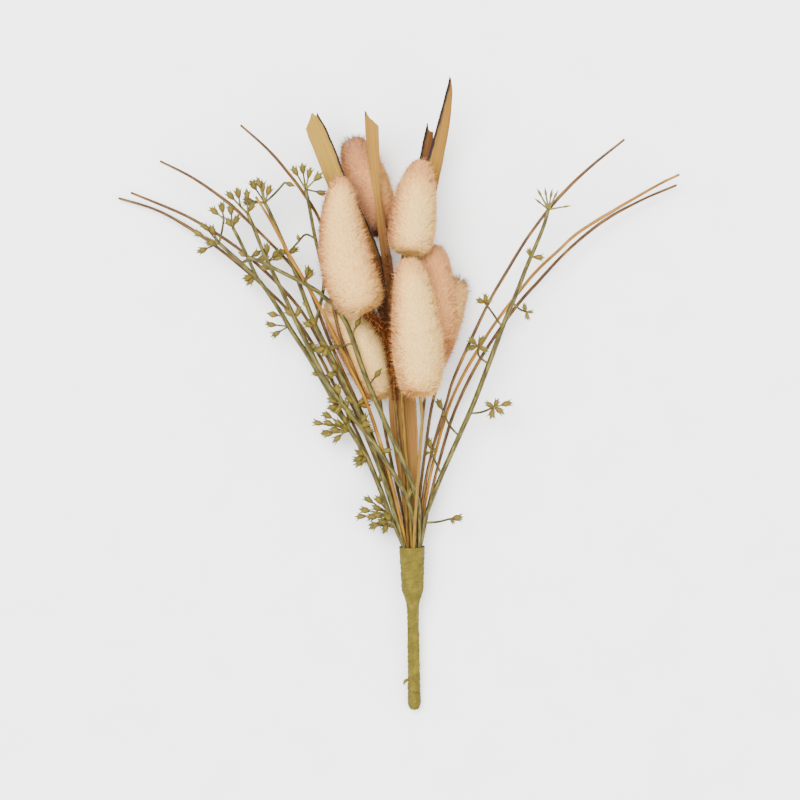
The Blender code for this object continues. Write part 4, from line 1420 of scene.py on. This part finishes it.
def bud(sheaf, base, tip, rng, teeth, slim=1.0):
    """A thin ray that ends in one bud, with short teeth beside its point."""
    way = unit(tip - base)
    reach = np.linalg.norm(tip - base)
    size = min(1, 0.85 * reach / BUD_LENGTH)
    long = BUD_LENGTH * size * 1.12
    fat = BUD_RADIUS * slim * size * rng.uniform(0.88, 1.12)
    tone = rng.uniform(0.15, 0.95)
    neck = tip - way * long
    bow = np.array([0, 0, rng.uniform(-0.4, 0.3)]) * min(1.0, reach / 10)
    ray = smooth([base, (base + neck) / 2 + bow, neck + way * long * 0.1], 1.2)
    tube(sheaf, ray, np.linspace(TWIG_RADIUS * 1.1, TWIG_RADIUS * 0.8, len(ray)), 6, tone=tone)
    turn = np.arange(BUD_SIDES) * 2 * np.pi / BUD_SIDES
    ribs = 1 + 0.1 * np.cos(4 * turn)[None]
    axis = neck + way * (BUD_SHARES * long)[:, None]
    part = np.concatenate([np.repeat(0.1 + 0.8 * BUD_SHARES, BUD_SIDES), [0.1, 0.95]])
    tube(sheaf, axis, (BUD_WIDTHS * fat)[:, None] * ribs, BUD_SIDES, tone=tone, part=part)
    for angle in np.arange(teeth) * 2 * np.pi / teeth + rng.uniform(0, np.pi):
        out, off = turned_about(way, angle + rng.normal(0, 0.2), rng.uniform(18, 36))
        root = neck + way * long * rng.uniform(0.3, 0.55) + off * fat * 0.55
        spike = np.array([root, root + out * long * TOOTH_LENGTH * 0.5, root + out * long * TOOTH_LENGTH])
        tube(sheaf, spike, (fat * 0.42, fat * 0.24, 0.04), TOOTH_SIDES, tone=tone, part=TOOTH_PART)


# %% Grow the sprays
SPRAY_STEM_RADIUS = 1.0
SPRAY_TOP_RADIUS = 0.7
SPRAY_TAPER_RUN = 60.0
SPRAY_SIDES = 12


def nearest(lines, place):
    """The point on these lines that lies nearest as seen from above."""
    points = np.vstack([smooth(line, 1.0) for line in lines])
    return points[np.linalg.norm(points[:, :2] - place[:2], axis=1).argmin()]


def ribbed(line, sides):
    """Four soft ribs round a moulded stem."""
    turn = np.arange(sides) * 2 * np.pi / sides
    return 1 + 0.09 * np.cos(4 * turn)[None] + np.zeros((len(line), 1))


def spray(name, way, seed):
    """A branching spray: its ribbed stems, bare twigs and toothed buds."""
    rng = np.random.default_rng(seed)
    main = traced(way["stems"][0])
    line = to_mouth(main, way["column"], way["row"])
    sheaf = Sheaf()
    radii = stem_radii(line, SPRAY_STEM_RADIUS, SPRAY_TOP_RADIUS, SPRAY_TAPER_RUN)
    tube(sheaf, line, radii[:, None] * ribbed(line, SPRAY_SIDES), SPRAY_SIDES, tone=0.5, twist=0.03)
    lines = [np.array([*main, slot(way["column"], way["row"])])]
    for stem in way["stems"][1:]:
        branch = traced(stem)
        branch = np.vstack([branch[:-1], nearest(lines, branch[-1])])
        run = smooth(branch)
        tube(sheaf, run, SPRAY_TOP_RADIUS * ribbed(run, SPRAY_SIDES), SPRAY_SIDES, tone=0.45)
        lines.append(branch)
    for start, *rest in way["twigs"]:
        root = nearest(lines, at(*start, 0))
        run = np.array([root, *(at(across, down, root[2] + rise) for across, down, rise in rest)])
        tube(sheaf, smooth(run, 1.2), TWIG_RADIUS * 1.15, 8, tone=0.4)
        lines.append(run)
    for number, (start, tips) in enumerate(way["clusters"] + SMALL_CLUSTERS.get(name, [])):
        slim = NEEDLE_SLIMNESS if (name, number) in NEEDLE_CLUSTERS else 1.0
        root = nearest(lines, at(*start, 0))
        for across, down, rise in tips:
            teeth = BUD_TEETH if len(tips) > 1 and slim == 1 else 0
            bud(sheaf, root, at(across, down, root[2] + rise), rng, teeth, slim)
    return piece(name + "_sprig", sheaf, spray_finish, "green_spray", name)


for seed, (name, way) in enumerate(SPRAYS.items()):
    spray(name, way, 70 + seed)


# %% [markdown]
# ## The taped stem
#
# Crepe tape is pulled and wound on a slant, so each turn lies over the last with a thin step. The paper is
# full of fine cross wrinkles. The steps and the wrinkles are both in the mesh: the radius follows the same
# outline as the solid, rises slowly over each turn of the tape and drops at its edge. A crease rings the
# stem near its end, and above it one corner of the tape stands off as a small flap. The colour is darker
# just below the edge of each turn, in the crease and down the pocket: painted shade.

# %% Tape finish
tape = Finish("olive_crepe_tape", Roughness=0.85, Specular_IOR_Level=0.2)
tape_grain = tape.held("grain", "Vector")
tape_crinkle = tape.noise(tape.stretched(tape_grain, 0.5, 2.6, 1.0), 1.0, 5.0, 0.65)
tape_patches = tape.noise(tape.stretched(tape_grain, 0.22, 0.22, 1.0), 1.0, 3.0)
# Painted shade: darker just below the edge of each turn, in the crease and down the pocket.
tape_painted_lap_shade = tape.held("tone")
tape_mix = tape_crinkle * 0.45 + tape_patches * 0.4 + tape_painted_lap_shade * 0.15
tape_colour = tape.ramp(
    tape.clear_range(tape_mix, 0.3, 0.8),
    (0.0, srgb(68, 58, 14)), (0.45, srgb(88, 78, 20)), (0.8, srgb(108, 97, 27)), (1.0, srgb(122, 111, 34)),
)
tape_finish = tape.feed(Base_Color=tape_colour, Normal=tape.raised(tape_crinkle, 0.1))

# %% Shape of the tape
TAPE_OUTLINE = (
    (0.0, 5.45), (10.0, 4.9), (18.0, 4.7), (21.5, 3.5), (24.5, 2.65), (31.0, 2.45),
    (58.0, 2.55), (63.0, 2.75), (67.0, 2.75), (69.3, 1.75), (69.7, 0.05),
)
POCKET_RADIUS = 5.0
POCKET_DEPTH = 5.0
TAPE_TURN = 7.0
TAPE_STEP = 0.08
TAPE_SIDES = 96
TAPE_SPACING = 0.25
CREASE_PLACE = 61.7
CREASE_WIDTH = 0.4
CREASE_DEPTH = 0.16
WRINKLES = 60
WRINKLE_DEPTH = 0.014
FLAP = ((409, 681, 4.2), (406.4, 681.6, 4.6), (404.6, 683.4, 4.0), (403.4, 686, 3.4))
FLAP_RADII = (0.5, 0.75, 0.6, 0.2)


def tape_outline(places):
    """The radius of the taped stem at each place, with the corners of its outline eased."""
    sharp = np.interp(places, *zip(*TAPE_OUTLINE))
    easing = np.hanning(15)
    soft = np.convolve(np.pad(sharp, 6, "edge"), easing[1:-1] / easing.sum(), "valid")
    to_end = np.clip((TAPE_OUTLINE[-1][0] - places) / 3, 0, 1)
    to_start = np.clip(places / 2, 0, 1)
    return sharp + (soft - sharp) * to_end * to_start


def wrinkles(places, turn, rng):
    """Fine cross wrinkles: many small waves, each with a pace of its own round and along the stem."""
    height = np.zeros((len(places), len(turn)))
    for _ in range(WRINKLES):
        waves, pace, start_turn = rng.integers(2, 16), rng.uniform(0.5, 3.2), rng.uniform(0, 6.28)
        height += np.sin(waves * turn[None] + pace * places[:, None] + start_turn)
    return height * WRINKLE_DEPTH


# %% Wind the tape
def wind_tape():
    """The tape as one closed skin: down the outside, round the end, with a pocket in the mouth."""
    rng = np.random.default_rng(5)
    places = np.arange(0, TAPE_OUTLINE[-1][0], TAPE_SPACING)
    places = np.append(places, TAPE_OUTLINE[-1][0])
    outline = tape_outline(places)[:, None]
    turn = np.arange(TAPE_SIDES) * 2 * np.pi / TAPE_SIDES
    lap = (places[:, None] / TAPE_TURN + turn[None] / (2 * np.pi)) % 1
    relief = TAPE_STEP * (lap**1.5 - 0.6) + wrinkles(places, turn, rng)
    radius = np.minimum(outline + relief * np.minimum(1, outline / 2.0), outline + 0.2)
    from_crease = places[:, None] + 0.3 * np.cos(turn)[None] - CREASE_PLACE
    crease = np.exp(-((from_crease / CREASE_WIDTH) ** 2))
    radius = radius - CREASE_DEPTH * crease
    pocket = np.array([
        [0.05, POCKET_DEPTH], [POCKET_RADIUS - 0.1, POCKET_DEPTH],
        [POCKET_RADIUS, 0.4], [POCKET_RADIUS + 0.12, 0.0],
    ])
    rings = np.vstack([np.repeat(pocket[:, :1], TAPE_SIDES, axis=1), radius])
    heights = np.concatenate([pocket[:, 1], places])
    side = unit(np.cross(TAPE_DOWN, (0, 0, 1)))
    up = np.cross(side, TAPE_DOWN)
    out = side[None] * np.cos(turn)[:, None] + up[None] * np.sin(turn)[:, None]
    points = MOUTH + TAPE_DOWN * heights[:, None, None] + out[None] * rings[..., None]
    points[..., 2] = np.maximum(points[..., 2], 0.02)
    down_stem = np.broadcast_to(heights[:, None], rings.shape)
    facing = np.broadcast_to(np.cos(turn), rings.shape)
    grain = np.stack([turn * rings, down_stem, facing], -1).reshape(-1, 3)
    # Painted shade: the pocket is dark, each turn is darker just below the step, and the crease is darker
    # still.
    tone = np.vstack([np.full((len(pocket), TAPE_SIDES), 0.1), 0.35 + 0.35 * lap - 0.9 * crease])
    faces = [ring_quads(len(heights), TAPE_SIDES), *ring_lids(len(heights), TAPE_SIDES)]
    sheaf = Sheaf()
    sheaf.add(points, faces, grain=grain, tone=tone.ravel(), part=0.0)
    flap = smooth(traced(FLAP), 0.3)
    flap_share = np.linspace(0, 1, len(flap))
    flap_radii = np.interp(flap_share, np.linspace(0, 1, len(FLAP_RADII)), FLAP_RADII)
    tube(sheaf, flap, flap_radii, 10, tone=0.9)
    return piece("tape_wrap_crepe", sheaf, tape_finish, "crepe_tape", "tape_wrap")


wind_tape()
